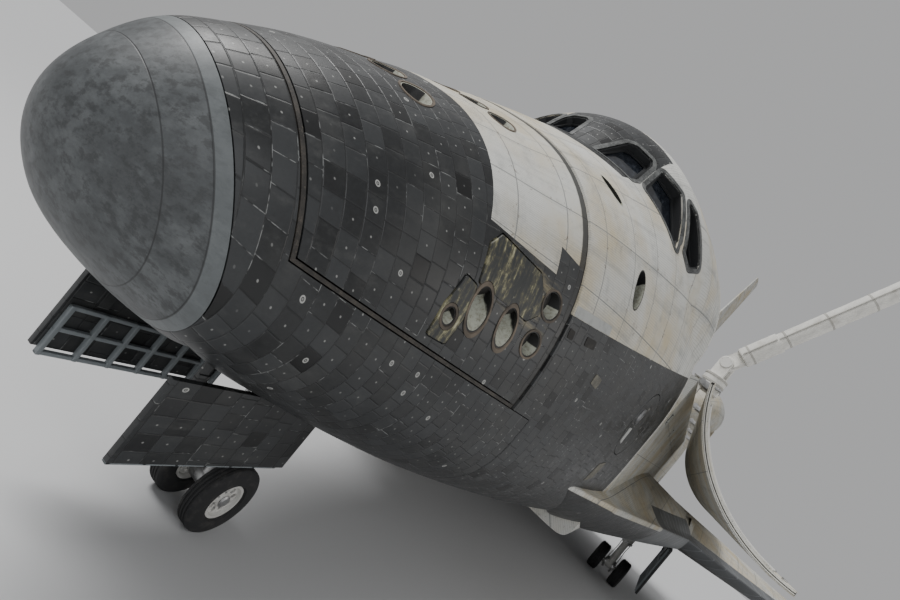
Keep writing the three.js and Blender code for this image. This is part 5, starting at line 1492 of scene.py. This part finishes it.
print("shaping the landing gear")
gear = {"ground": (1172, 170), "sides": 26,
        "nose": {"station": 372, "port": 0, "radius": 16, "width": 8.8, "spread": 22, "hub": 8,
                 "axle": 2.1},
        "main": {"station": 1172, "port": 136, "radius": 22.25, "width": 16, "spread": 37, "hub": 10.5,
                 "axle": 3.3}}


# The tyre just touches the floor, as the flats of the frame's tyre do
def axleSpot(row):
    ground = gear["ground"][1] - math.tan(airframe["pitch"]) * (row["station"] - gear["ground"][0])
    radius = row["radius"] * math.cos(math.pi / gear["sides"])
    return at(row["station"], row["port"], ground + radius / math.cos(airframe["pitch"])), radius - 0.02


def wheelPair(row, name, body, nodes):
    axle, radius = axleSpot(row)
    half, hub = row["width"] / 2, row["hub"]
    tyres, rims, caps = [], [], []
    for side in (-1, 1):
        middle = axle + across * side * row["spread"] / 2
        profile = [(-half * 0.6, hub)]
        profile += [(-half * 0.98, hub + (radius - hub) * 0.12), (-half, hub + (radius - hub) * 0.42),
                    (-half * 0.93, radius * 0.88),
                    (-half * 0.8, radius * 0.955), (-half * 0.66, radius * 0.99)]
        for k in range(3):
            centre = half * (-0.36 + 0.36 * k)
            profile += [(centre - half * 0.1, radius), (centre - half * 0.06, radius * 0.975),
                        (centre + half * 0.06, radius * 0.975), (centre + half * 0.1, radius)]
        profile += [(-a, r) for a, r in reversed(profile[:6])]
        tyres.append(turnedOf(profile + [profile[0]], middle, across, 72))
        rim = [(-half * 0.78, hub - 0.9), (-half * 0.78, hub + 0.15), (-half * 0.6, hub + 0.1),
               (half * 0.6, hub + 0.1),
               (half * 0.78, hub + 0.15), (half * 0.78, hub - 0.9), (half * 0.42, hub * 0.82),
               (half * 0.42, hub * 0.42),
               (half * 0.62, hub * 0.36), (half * 0.62, row["axle"]), (-half * 0.62, row["axle"]),
               (-half * 0.62, hub * 0.36),
               (-half * 0.42, hub * 0.42), (-half * 0.42, hub * 0.82), (-half * 0.78, hub - 0.9)]
        wheel = turnedOf(rim, middle, across, 60)
        holes = []
        for a in turns(9):
            spot = middle + Vector((math.cos(a), 0, math.sin(a))) * hub * 0.63
            holes.append(barOf(spot - across * half, spot + across * half, hub * 0.13, None, 20))
        rims.append(without(wheel, joinAll(holes)))
        outer = middle + across * side * half * 0.5
        caps.append(turnedOf([(0, 0), (0, hub * 0.34), (half * 0.2, hub * 0.33), (half * 0.34, hub * 0.24),
                              (half * 0.38, 0)],
                             outer, across * side, 40))
        for a in turns(8, 0.5):
            spot = outer + Vector((math.cos(a), 0, math.sin(a))) * hub * 0.5
            caps.append(barOf(spot - across * side * half * 0.3, spot + across * side * half * 0.02, 0.55,
                              0.5, 6))
    reach = row["spread"] / 2 + half * 0.62
    caps.append(barOf(axle - across * reach, axle + across * reach, row["axle"] + 0.3, None, 32))
    finished(tyres, name + "_tyres", body, "tyre", nodes, 24)
    finished(rims, name + "_rims", body, "paint", (), 30)
    finished(caps, name + "_axle_and_caps", body, "steel", (), 30)


nose, main = gear["nose"], gear["main"]
wheelPair(nose, "nose_wheel", "nose_wheels", ["nose_wheels"])
wheelPair(main, "main_wheel_left", "main_wheels_left", ["main_wheels_left"])
wheelPair({**main, "port": -main["port"]}, "main_wheel_right", "main_wheels_right", ["main_wheels_right"])


# A flat collar round a line: inner and outer radius, and width
def collarOf(size, start, way, sides):
    inner, outer, width = size
    profile = [(0, inner), (0, outer), (width, outer), (width, inner), (0, inner)]
    return turnedOf(profile, start, way, sides)


# Collars, braces and links of the legs. Bars have two ends in station, port and height, and a radius.
legs = {"noseCollar": (5.6, 6.9, 2.2), "noseCollars": (270, 283, 307),
        "noseBars": [((366, 4.2, 268), (352, 8, 318), 1.1), ((366, -4.2, 268), (352, -8, 318), 1.1),
                     ((366, 0, 277), (330, 0, 309), 1.6)],
        "forkPin": ((388.5, -2.6, 250), (388.5, 2.6, 250), 1.5), "lamp": ((365.5, 0, 259), (361.5, 0, 259)),
        "mainCollar": (7.6, 9.2, 2.6), "mainCollars": (234, 262, 296), "brake": (6.0, 9.3, 2.6),
        "mainBars": [((1195, 132, 219), (1195, 140, 219), 2.3), ((1172, 142.5, 252), (1172, 162, 318), 2.2),
                     ((1172, 129.5, 252), (1172, 114, 318), 2.2)],
        "line": [(1165, 7.6, 290), (1165, 7.8, 250), (1166.5, 6.4, 222)], "brakeSide": 6.2}


def legBars(rows, sides):
    return [barOf(at(*start), at(*end), radius, None, sides) for start, end, radius in rows]


def legCollars(key, station, port, sides):
    return [collarOf(legs[key], at(station, port, height), upward, sides) for height in legs[key + "s"]]


extras = legCollars("noseCollar", nose["station"], 0, 40) + legBars(legs["noseBars"], 20)
finished(extras, "nose_leg_collars_and_braces", "orbiter", "steel", (), 40)
axle = axleSpot(nose)[0]
links = [tubeAlong([at(377, 0, 262), at(386, 0, 254), at(388.5, 0, 250)], 1.0, 10),
         tubeAlong([at(388.5, 0, 250), at(385, 0, 244), at(376, 0, axle.z + 3)], 1.0, 10)]
links += legBars([legs["forkPin"]], 20)
links += [boxOf((370.5, 373.5), sorted((side * 3.1, side * 4.6)), (axle.z - 2, 256), 0.4)
          for side in (1, -1)]
links.append(barOf(at(*legs["lamp"][0]), at(*legs["lamp"][1]), 2.7, 2.5, 32))
finished(links, "nose_fork_links_and_lamp", "nose_steering", "steel", (), 40)
axle = axleSpot(main)[0]
mainBars = copyOfNode("main_gear_leg_left", 0.25)
bothFinished(mainBars, "main_leg_bars", "orbiter", "paint", ["main_gear_leg"], 40)
port = main["port"]
extras = legCollars("mainCollar", main["station"], port, 48) + legBars(legs["mainBars"], 24)
extras += [tubeAlong([at(1180, port, 240), at(1193, port, 224), at(1195, port, 219)], 1.6, 12),
           tubeAlong([at(1195, port, 219), at(1190, port, 208), at(1179, port, axle.z + 5)], 1.6, 12)]
for side in (-1, 1):
    line = [at(1166.5 + side, port + side * 5.5, 325)]
    line += [at(station, port + side * away, height) for station, away, height in legs["line"]]
    line.append(at(1168, port + side * 8, axle.z + 7))
    extras.append(tubeAlong(line, 0.55, 10))
    brake = axle + across * side * legs["brakeSide"]
    extras.append(collarOf(legs["brake"], brake - across * legs["brake"][2] / 2, across, 48))
bothFinished(extras, "main_leg_braces_and_lines", "orbiter", "steel", (), 40)

# Ribs inside the gear doors
low, high = 262.5, 281
ribs = [boxOf((293 + k * 12.1, 294.6 + k * 12.1), (22.6, 24.6), (low, high), 0.25) for k in range(7)]
ribs += [boxOf((293, 367), (22.9, 24.6), (h, h + 1.4), 0.25) for h in (low, 271.5, high - 1.4)]
bothFinished(ribs, "nose_door_ribs", "orbiter", "cabin")
ribs = [boxOf((1062 + k * 15.6, 1064 + k * 15.6), (178.4, 180.8), (208, 278), 0.3) for k in range(9)]
ribs += [boxOf((1062, 1188.5), (178.8, 180.8), (h, h + 2), 0.3) for h in (208, 231, 254, 276)]
bothFinished(ribs, "main_door_ribs", "orbiter", "cabin")

print("shaping the tail")
engines = {"rows": (("main_engine_upper", 1445, 0, 443, 16, 0),
                    ("main_engine_left", 1468.2, 53, 342.6, 10, 3.5),
                    ("main_engine_right", 1468.2, -53, 342.6, 10, -3.5)),
           "bell": ((30, 15, 0), (62, 17, 6), (80, 26, 22.5), (105, 35, 32.5), (130, 42, 40),
                    (157, 47.2, 45.4)),
           "shield": ((0.02, 41), (9, 38.1), (16, 32), (18, 28)), "base": 1511,
           "pod": (1518, 88, 492, 15.8, 6.5),
           "podBell": ((8, 7, 0), (20, 8.5, 4), (32, 13.5, 11), (50, 18.5, 16.8), (77, 22.8, 21.5))}


def engineWay(pitch, yaw):
    p, y = math.radians(pitch), math.radians(yaw)
    return Vector((-math.cos(p) * math.cos(y), math.cos(p) * math.sin(y), math.sin(p)))


tailBody = wrapRings("tail_skin", tailRings([1311 + 10 * k for k in range(21)], 0.0, 40))
inside = wrapRings("tail_inside", tailRings([1300 + 10.25 * k for k in range(21)], -6.0, 24))
tailSkin = without(between(tailBody, 1313.5), inside)
for name, station, side, height, pitch, yaw in engines["rows"]:
    way = engineWay(pitch, yaw)
    gimbal = at(station, side, height)
    tailSkin = without(tailSkin, barOf(gimbal, gimbal + way * 90, 29, None, 64))
plateRooms, plateParts = [], []
for side in (1, -1):
    # Service plate low on each side, with three round fittings
    plateRooms.append(boxOf((1440, 1476), sorted((side * 110.4, side * 118)), (318, 342), 2.0))
    plateParts.append(boxOf((1441, 1475), sorted((side * 110.2, side * 111.6)), (319, 341), 1.6))
    for k in range(3):
        plateParts.append(barOf(at(1448 + 10 * k, side * 110.8, 330), at(1448 + 10 * k, side * 112.6, 330),
                                3.2, 3.0, 32))
tailSkin = without(tailSkin, joinAll(plateRooms))
pads = [barOf(at(1330, side * 93, 274), at(1330, side * 93, 281), 7, None, 40) for side in (1, -1)]
ledge = without(boxOf((1500, 1531), (-110, 110), (284, 292.5), 0.4),
                barOf(at(1532, -120, 287), at(1532, 120, 287), 6.5, None, 64))
finished(tailSkin, "aft_fuselage_skin", "orbiter", "bodySkin", ["aft_fuselage"], 28)
finished([ledge] + pads, "flap_ledge_and_pads", "orbiter", "dark")
finished(plateParts, "service_plates", "orbiter", "steel")

# Fin: height, leading edge, trailing edge, greatest half thickness, and the parachute housing at its foot
fin = {"rows": ((496, 1272, 1545, 13.5), (818.7, 1594.5, 1703, 5.2)), "housing": (1478, 1556, 539.2, 12),
       "chord": [(0, 0.04), (0.04, 0.32), (0.2, 0.72), (0.5, 1), (0.6, 0.94), (1, 0.06)],
       "rudder": (592, 778, 0.6), "swing": 80, "clear": 0.4}


def finPart(share):
    if share >= 0.5:
        k = 3 if share < 0.6 else 4
        a, b = fin["chord"][k], fin["chord"][k + 1]
        return a[1] + (b[1] - a[1]) * (share - a[0]) / (b[0] - a[0])
    return smoothRow([(math.sqrt(a), b) for a, b in fin["chord"]], math.sqrt(share))[1]


def finRing(row, widen=1.0, add=0.0):
    height, lead, trail, half = row
    shares = [(k / 40) ** 1.7 for k in range(41)]
    stations = [lead + s * (trail - lead) for s in shares]
    widths = [finPart(s) * half * widen + add for s in shares]
    port = [at(station, width, height) for station, width in zip(stations, widths)]
    starboard = [at(station, -width, height) for station, width in zip(stations, widths)]
    return port + starboard[::-1]



def finRow(height):
    foot, top = fin["rows"][0][0], fin["rows"][1][0]
    return [a + (b - a) * (height - foot) / (top - foot) for a, b in zip(*fin["rows"])]


finSkin = wrapRings("fin_skin", [finRing(finRow(h)) for h in (496, 540, 592, 650, 720, 778, 818.7)])
fore, aft, height, radius = fin["housing"]
housing = turnedOf([(0, 0), (1.2, radius * 0.62), (5, radius * 0.9), (11, radius), (aft - fore - 3, radius),
                    (aft - fore - 1, radius - 0.6),
                    (aft - fore, radius - 1.8), (aft - fore, 0)], at(fore, 0, height), -forward, 64)
finSkin = combine(finSkin, housing, "UNION")
finSkin = without(finSkin, wrapRings("tail_cut", tailRings((1300, 1330, 1400, 1470, 1511.1), 0.02, 24)))
for limits in (((1200, 1308.5), (-40, 40), (200, 900)), ((1511, 1700), (-40, 40), (200, 527))):
    finSkin = without(finSkin, boxOf(*limits))
low, high, share = fin["rudder"]
ends = []
for height in (low, high):
    row = finRow(height)
    ends.append((at(row[1] + share * (row[2] - row[1]), 0, height), 0.94 * row[3] - 0.1))
axis = (ends[1][0] - ends[0][0]).normalized()
ahead = Vector((axis.z, 0, -axis.x))
rings = []
for (point, half), stretch in zip(ends, (-fin["clear"], fin["clear"])):
    reach = math.tan(math.radians(fin["swing"] / 2)) * half + fin["clear"]
    rings.append([point + axis * stretch + ahead * x + across * y for x,
                  y in ((reach, -40), (-150, -40), (-150, 40), (reach, 40))])
finSkin = without(finSkin, wrapRings("rudder_room", rings))
(lowPoint, lowHalf), (highPoint, highHalf) = ends
finSkin = without(finSkin, barOf(lowPoint - axis * fin["clear"], highPoint + axis * fin["clear"],
                                 lowHalf + fin["clear"],
                                 highHalf + fin["clear"], 64))
finished(finSkin, "fin_skin", "orbiter", "finSkin", ["vertical_fin"], 28)
lid = turnedOf([(0, 0), (0, 10.2), (0.9, 9.8), (1.4, 8.2), (1.6, 0)], at(1556, 0, 539.2), -forward, 64)
finished(lid, "parachute_lid", "orbiter", "paint")

# Body flap: round nose, flat wedge behind, a thin rounded tail
nosePoints = arcPoints(6, 90, 270, 24, (0, 0))
flapOutline = [(1532 + a, 287 + b) for a, b in nosePoints] + [(1612.4, 280.0), (1613, 280.3),
    (1612.6, 281.4)]
flap = plateOf([at(station, -126, height) for station, height in flapOutline], 0, 252, across)
finished(rounded(flap, 0.3), "body_flap_skin", "body_flap", "dark", ["body_flap"], 30)

# Pods, smooth along their length
pod = {"rows": [(1313, 60, 476, 5, 4), (1330, 64, 478, 24, 19), (1362, 70, 481, 37, 32),
                (1405, 77, 486, 44, 42), (1455, 82, 490, 47, 47),
                (1505, 87, 492, 46, 46), (1536, 89, 493, 41, 41)], "sides": 56}


def podRing(station):
    s, side, height, wide, tall = smoothRow(pod["rows"], station, 1312.9)
    return [at(s, side + math.cos(a) * wide, height + math.sin(a) * tall) for a in turns(pod["sides"])]


podSkin = wrapRings("pod_skin", [podRing(1313 + 223 * (k / 30) ** 1.7) for k in range(31)])
podSkin = combine(podSkin, boxOf((1500, 1552), (100, 132), (444, 478), 2.4, 4), "UNION")
podSkin = without(podSkin, wrapRings("tail_cut", tailRings((1300, 1330, 1400, 1470, 1560), 0.02, 24)))
podSkin = without(podSkin, wrapRings("fin_cut", [finRing(finRow(h), 1.4, 2.0) for h in (496, 818.7)]))
podSkin = without(podSkin, boxOf((1300, 1560), (-10, 34), (400, 600)))
station, side, height, pitch, yaw = engines["pod"]
podWay, podGimbal = engineWay(pitch, yaw), at(station, side, height)
podSkin = without(podSkin, barOf(podGimbal + podWay * 7.98, podGimbal + podWay * 60, 12, 26, 64))
pits = [barOf(at(1510 + 14 * k, 126, 461), at(1510 + 14 * k, 138, 461), 4.6, 5.6, 32) for k in range(3)]
podSkin = without(podSkin, joinAll(pits))
bothFinished(podSkin, "pod_skin", "orbiter", "podSkin", ["pod"], 30)
cups = [turnedOf([(0.1, 0), (0.1, 4.5), (6.0, 5.3), (6.0, 4.7), (0.8, 3.9), (0.8, 0)],
                 at(1510 + 14 * k, 126, 461), across, 32) for k in range(3)]
bothFinished(cups, "pod_thruster_cups", "orbiter", "cup", (), 40)


# A bell with a smooth wall, hoops round it, a rolled lip and a dark throat
def bellOf(table, gimbal, way, hoops, hoop):
    smooth = [smoothRow(table[1:], table[1][0] + (table[-1][0] - table[1][0]) * k / 26) for k in range(27)]
    first, last = table[0], table[-1]
    profile = [(first[0], 0.0), (first[0], first[1] * 0.96), (first[0] + 0.8, first[1]),
               (table[1][0] - 0.5, table[1][1])]
    profile += [(a, r) for a, r, _ in smooth] + [(last[0], last[2])]
    profile += [(a, inner) for a, _, inner in reversed(smooth[:-1])] + [(table[1][0], 0.0)]
    shell = turnedOf(profile, gimbal, way, 96)
    rings = []
    for k in range(hoops):
        along = table[1][0] + (last[0] - table[1][0]) * (k + 1.0) / (hoops + 0.2)
        radius = smoothRow(table[1:], along)[1]
        low, high = along - hoop, along + hoop
        band = [(low, radius - 0.4), (along - hoop * 0.8, radius + hoop * 0.8),
                (along + hoop * 0.8, radius + hoop), (high, radius - 0.4), (low, radius - 0.4)]
        rings.append(turnedOf(band, gimbal, way, 96))
    lip = (last[1] + last[2]) / 2
    rolled = [(last[0] - 1.0 + 0.9 * math.cos(a), lip + 0.9 * math.sin(a))
              for a in [math.pi * k / 6 for k in range(13)]]
    rings.append(turnedOf(rolled, gimbal, way, 96))
    return shell, joinAll(rings)


for name, station, side, height, pitch, yaw in engines["rows"]:
    way, gimbal = engineWay(pitch, yaw), at(station, side, height)
    shell, rings = bellOf(engines["bell"], gimbal, way, 9, 0.9)
    finished(shell, name + "_bell", "orbiter", "nozzle", [name], 40)
    rings = common(rings, boxOf((1529, 1700), (-200, 200), (200, 700)))
    finished(rings, name + "_hoops", "orbiter", "hoop", (), 40)
    seat = gimbal + way * ((engines["base"] - station) / -way.x)
    rows = engines["shield"]
    first, last = rows[0], rows[-1]
    dome = [(first[0], 17), (first[0], first[1])]
    dome += [tuple(smoothRow(rows, first[0] + (last[0] - first[0]) * k / 12)[:2]) for k in range(1, 13)]
    dome = turnedOf(dome + [(17.0, 17.0), (first[0], 17)], seat, -forward, 96)
    if side:
        dome = keepSide(dome, at(1511, 0, 283), upward)
    finished(dome, name + "_shield", "orbiter", "shield", (), 40)
shell, rings = bellOf(engines["podBell"], podGimbal, podWay, 5, 0.5)
bothFinished(shell, "pod_bell", "orbiter", "nozzle", ["pod_nozzle"], 40)
bothFinished(rings, "pod_bell_hoops", "orbiter", "hoop", (), 40)

print("shaping the arm and antenna")
arm = {"foot": (679.5, 108), "pivot": 450, "heading": 255.3, "lean": 118, "radius": 6.5, "lug": 12,
       "offset": 12.4, "upper": 251, "lower": 278, "yaw": 28, "roll": 24, "strap": 31}
heading = Vector((math.cos(math.radians(arm["heading"])), math.sin(math.radians(arm["heading"])), 0))
armWay = heading * math.cos(math.radians(arm["lean"])) + Vector((0, 0, math.sin(math.radians(arm["lean"]))))
armAxis = armWay.cross(heading).normalized()
armUnder = armAxis.cross(armWay).normalized()
pivot = at(*arm["foot"], arm["pivot"])
elbow = pivot + armWay * arm["upper"]
wrist = elbow + armWay * arm["lower"]
yawPoint = wrist + armWay * arm["yaw"]
rollFace = yawPoint + armWay * arm["roll"]


# A band with sloping edges round a line: radii of its foot and top, its start, and the steps of its profile
def bandOf(foot, top, along, steps, start, way):
    rise, fall, end = steps
    profile = [(along, foot), (along + rise, top), (along + fall, top), (along + end, foot), (along, foot)]
    return turnedOf(profile, start, way, 56)


# A cloth sleeve, a little uneven along its length, with narrow straps round it
def sleeveOf(start, length, radius, body, name):
    steps = max(int(length / 3.2), 4)
    skin = [(length * k / steps, radius + 0.05 + chance.random() * 0.16) for k in range(steps + 1)]
    first, last, depth = -0.02, length + 0.02, radius - 1.2
    profile = [(first, depth), (first, radius), *skin, (last, radius), (last, depth), (first, depth)]
    finished(turnedOf(profile, start, armWay, 56), name + "_sleeve", body, "wrap", (), 50)
    straps = []
    for k in range(max(int(length / arm["strap"]), 1)):
        along = 5.0 + k * arm["strap"]
        if along < length - 3:
            straps.append(bandOf(radius - 0.2, radius + 0.34, along, (0.1, 1.5, 1.6), start, armWay))
    line = armAxis * (radius + 0.55)
    straps.append(tubeAlong([start + armWay * (1 + (length - 2) * k / 24) + line for k in range(25)], 0.42,
                            10))
    finished(straps, name + "_straps_and_line", body, "strap", (), 50)


# Round covers over the ends of a joint's pin
def pinCaps(point, axis, reach, radius, name, body):
    caps = []
    for side in (1, -1):
        cap = [(reach - 0.3, 0), (reach - 0.3, radius), (reach + 0.45, radius),
               (reach + 0.6, radius - 0.3), (reach + 0.6, 0)]
        caps.append(turnedOf(cap, point, axis * side, 40))
        for a in turns(6):
            aside = axis.orthogonal().normalized()
            out = aside * math.cos(a) + axis.cross(aside) * math.sin(a)
            spot = point + axis * side * (reach + 0.3) + out * radius * 0.86
            caps.append(barOf(spot, spot + axis * side * 0.55, 0.34, 0.3, 6))
    finished(caps, name, body, "paint", (), 24)


plates = [boxOf((668, 691), (94.4, 117.4), (427.6, 429.0), 0.5)]
plates += [barOf(at(679.5 + a, 108 + b, 428.5), at(679.5 + a, 108 + b, 429.8), 0.9, 0.8, 6)
           for a in (-9.6, 9.6) for b in (-8, 0, 7.5)]
finished(plates, "arm_pedestal_plate", "orbiter", "steel")
bands = [bandOf(8.5, 9.4, 0, (0.1, 1.6, 1.7), at(*arm["foot"], height), upward)
         for height in (430.5, 435.8)]
finished(bands, "arm_shoulder_bands", "arm_shoulder", "strap", (), 40)
pinCaps(pivot, armAxis, 6.97, 4.6, "arm_shoulder_pin", "arm_shoulder")
sleeveOf(pivot + armWay * (arm["lug"] + 0.6), 28, arm["radius"] + 1, "arm_upper", "arm_root")
sleeveOf(pivot + armWay * 40.2, arm["upper"] - 48.6, arm["radius"], "arm_upper", "arm_upper_boom")
pinCaps(elbow + armUnder * arm["offset"], armAxis, 5.33, 3.6, "arm_elbow_pin", "arm_upper")
sleeveOf(elbow + armWay * 8.4, arm["lower"] - 20.8, arm["radius"], "arm_lower", "arm_lower_boom")
pinCaps(wrist, armAxis, 5.33, 3.6, "arm_wrist_pin", "arm_lower")
hoops = [bandOf(6.9, 7.5, along, (0.2, 1.6, 1.8), rollFace, armWay) for along in (1, 9, 17, 23.6)]
hoops.append(turnedOf([(25.6, 4.2), (25.6, 6.9), (26.5, 6.6), (26.5, 4.4), (25.6, 4.2)], rollFace, armWay,
                      56))
hoops += [barOf(rollFace + armUnder * 7.6 + armWay * 6, rollFace + armUnder * 7.6 + armWay * 15, 1.7, None,
                24)]
finished(hoops, "arm_end_hoops_and_lamp", "arm_end_effector", "strap", (), 40)

# Dish antenna
dish = {"foot": (594, -78), "height": 448, "reach": 38, "inboard": 12, "radius": 17}
centre = at(dish["foot"][0] + dish["reach"], dish["foot"][1] + dish["inboard"], dish["height"])
radius = dish["radius"]
bowlShape = [(-3 + 5 * (r / radius) ** 2, r) for r in [radius * k / 14 for k in range(1, 15)]]
bowlBack = [(a - 0.7, r) for a, r in reversed(bowlShape[:-1])]
bowl = turnedOf([(-3, 0), *bowlShape, (1.5, 17.05), *bowlBack, (-3.7, 0)], centre, across, 72)
feeds = [barOf(centre + across * 6.6, centre + across * 8.4, 2.4, 1.9, 32)]
for k in range(3):
    a = 2 * math.pi * k / 3 + 0.5
    out = Vector((math.cos(a), 0, math.sin(a)))
    feeds.append(barOf(centre + out * 13.2 - across * 0.1, centre + out * 1.6 + across * 7.4, 0.32, None,
                       10))
finished([bowl] + feeds, "dish_bowl_and_feed", "dish_antenna", "paint", (), 40)
mount = copyOfNode("dish_antenna", 0.3)
bowlRoom = turnedOf([(-3.2, 0), (-3.2, 6.2), (-0.8, 17.6), (3, 17.6), (3, 0)], centre, across, 48)
finished(without(mount, bowlRoom), "dish_mount", "dish_antenna", "cabin", ["dish_antenna"], 40)

# Pieces that keep the shape of a CAD node, with rounded edges:
# node, name, body, finish, slot, width of the edge, segments and smoothing angle
nodePieces = [
    ("nose_gear_leg", "nose_leg_bars", "orbiter", "paint", "paint", 0.2, 2, 40),
    ("nose_steering_fork", "nose_fork", "nose_steering", "steel", "steel", 0.2, 2, 40),
    ("rudder_tube", "rudder_tube_skin", "rudder", "steel", "steel", 0.2, 2, 30),
    ("flight_deck", "flight_deck_furniture", "orbiter", "cabin", "cabin", 0.6, 3, 40)]
for node, body in (("arm_pedestal", "orbiter"), ("arm_shoulder", "arm_shoulder"),
                   ("arm_upper_boom", "arm_upper"), ("arm_lower_boom", "arm_lower"),
                   ("arm_wrist_pitch", "arm_wrist_pitch"), ("arm_wrist_yaw", "arm_wrist_yaw"),
                   ("arm_end_effector", "arm_end_effector")):
    nodePieces.append((node, node + "_skin", body, "wrap", "paint", 0.5, 3, 40))
for side in ("left", "right"):
    for place, width in (("nose", 0.45), ("main", 0.6)):
        nodePieces.append((f"{place}_gear_door_{side}", f"{place}_door_{side}", "orbiter", "darkSide",
                           "black_tile", width, 3, 30))
    rudder = "rudder_" + side
    nodePieces.append((rudder, rudder + "_skin", rudder, "finSkin", "white_tile", 0.12, 2, 24))
    for elevon in ("elevon_inboard_" + side, "elevon_outboard_" + side):
        nodePieces.append((elevon, elevon + "_skin", elevon, "skin", "black_tile", 0.3, 2, 30))
for node, name, body, finish, slotName, width, segments, smooth in nodePieces:
    finished(copyOfNode(node, width, segments), name, body, finish, [node], smooth)
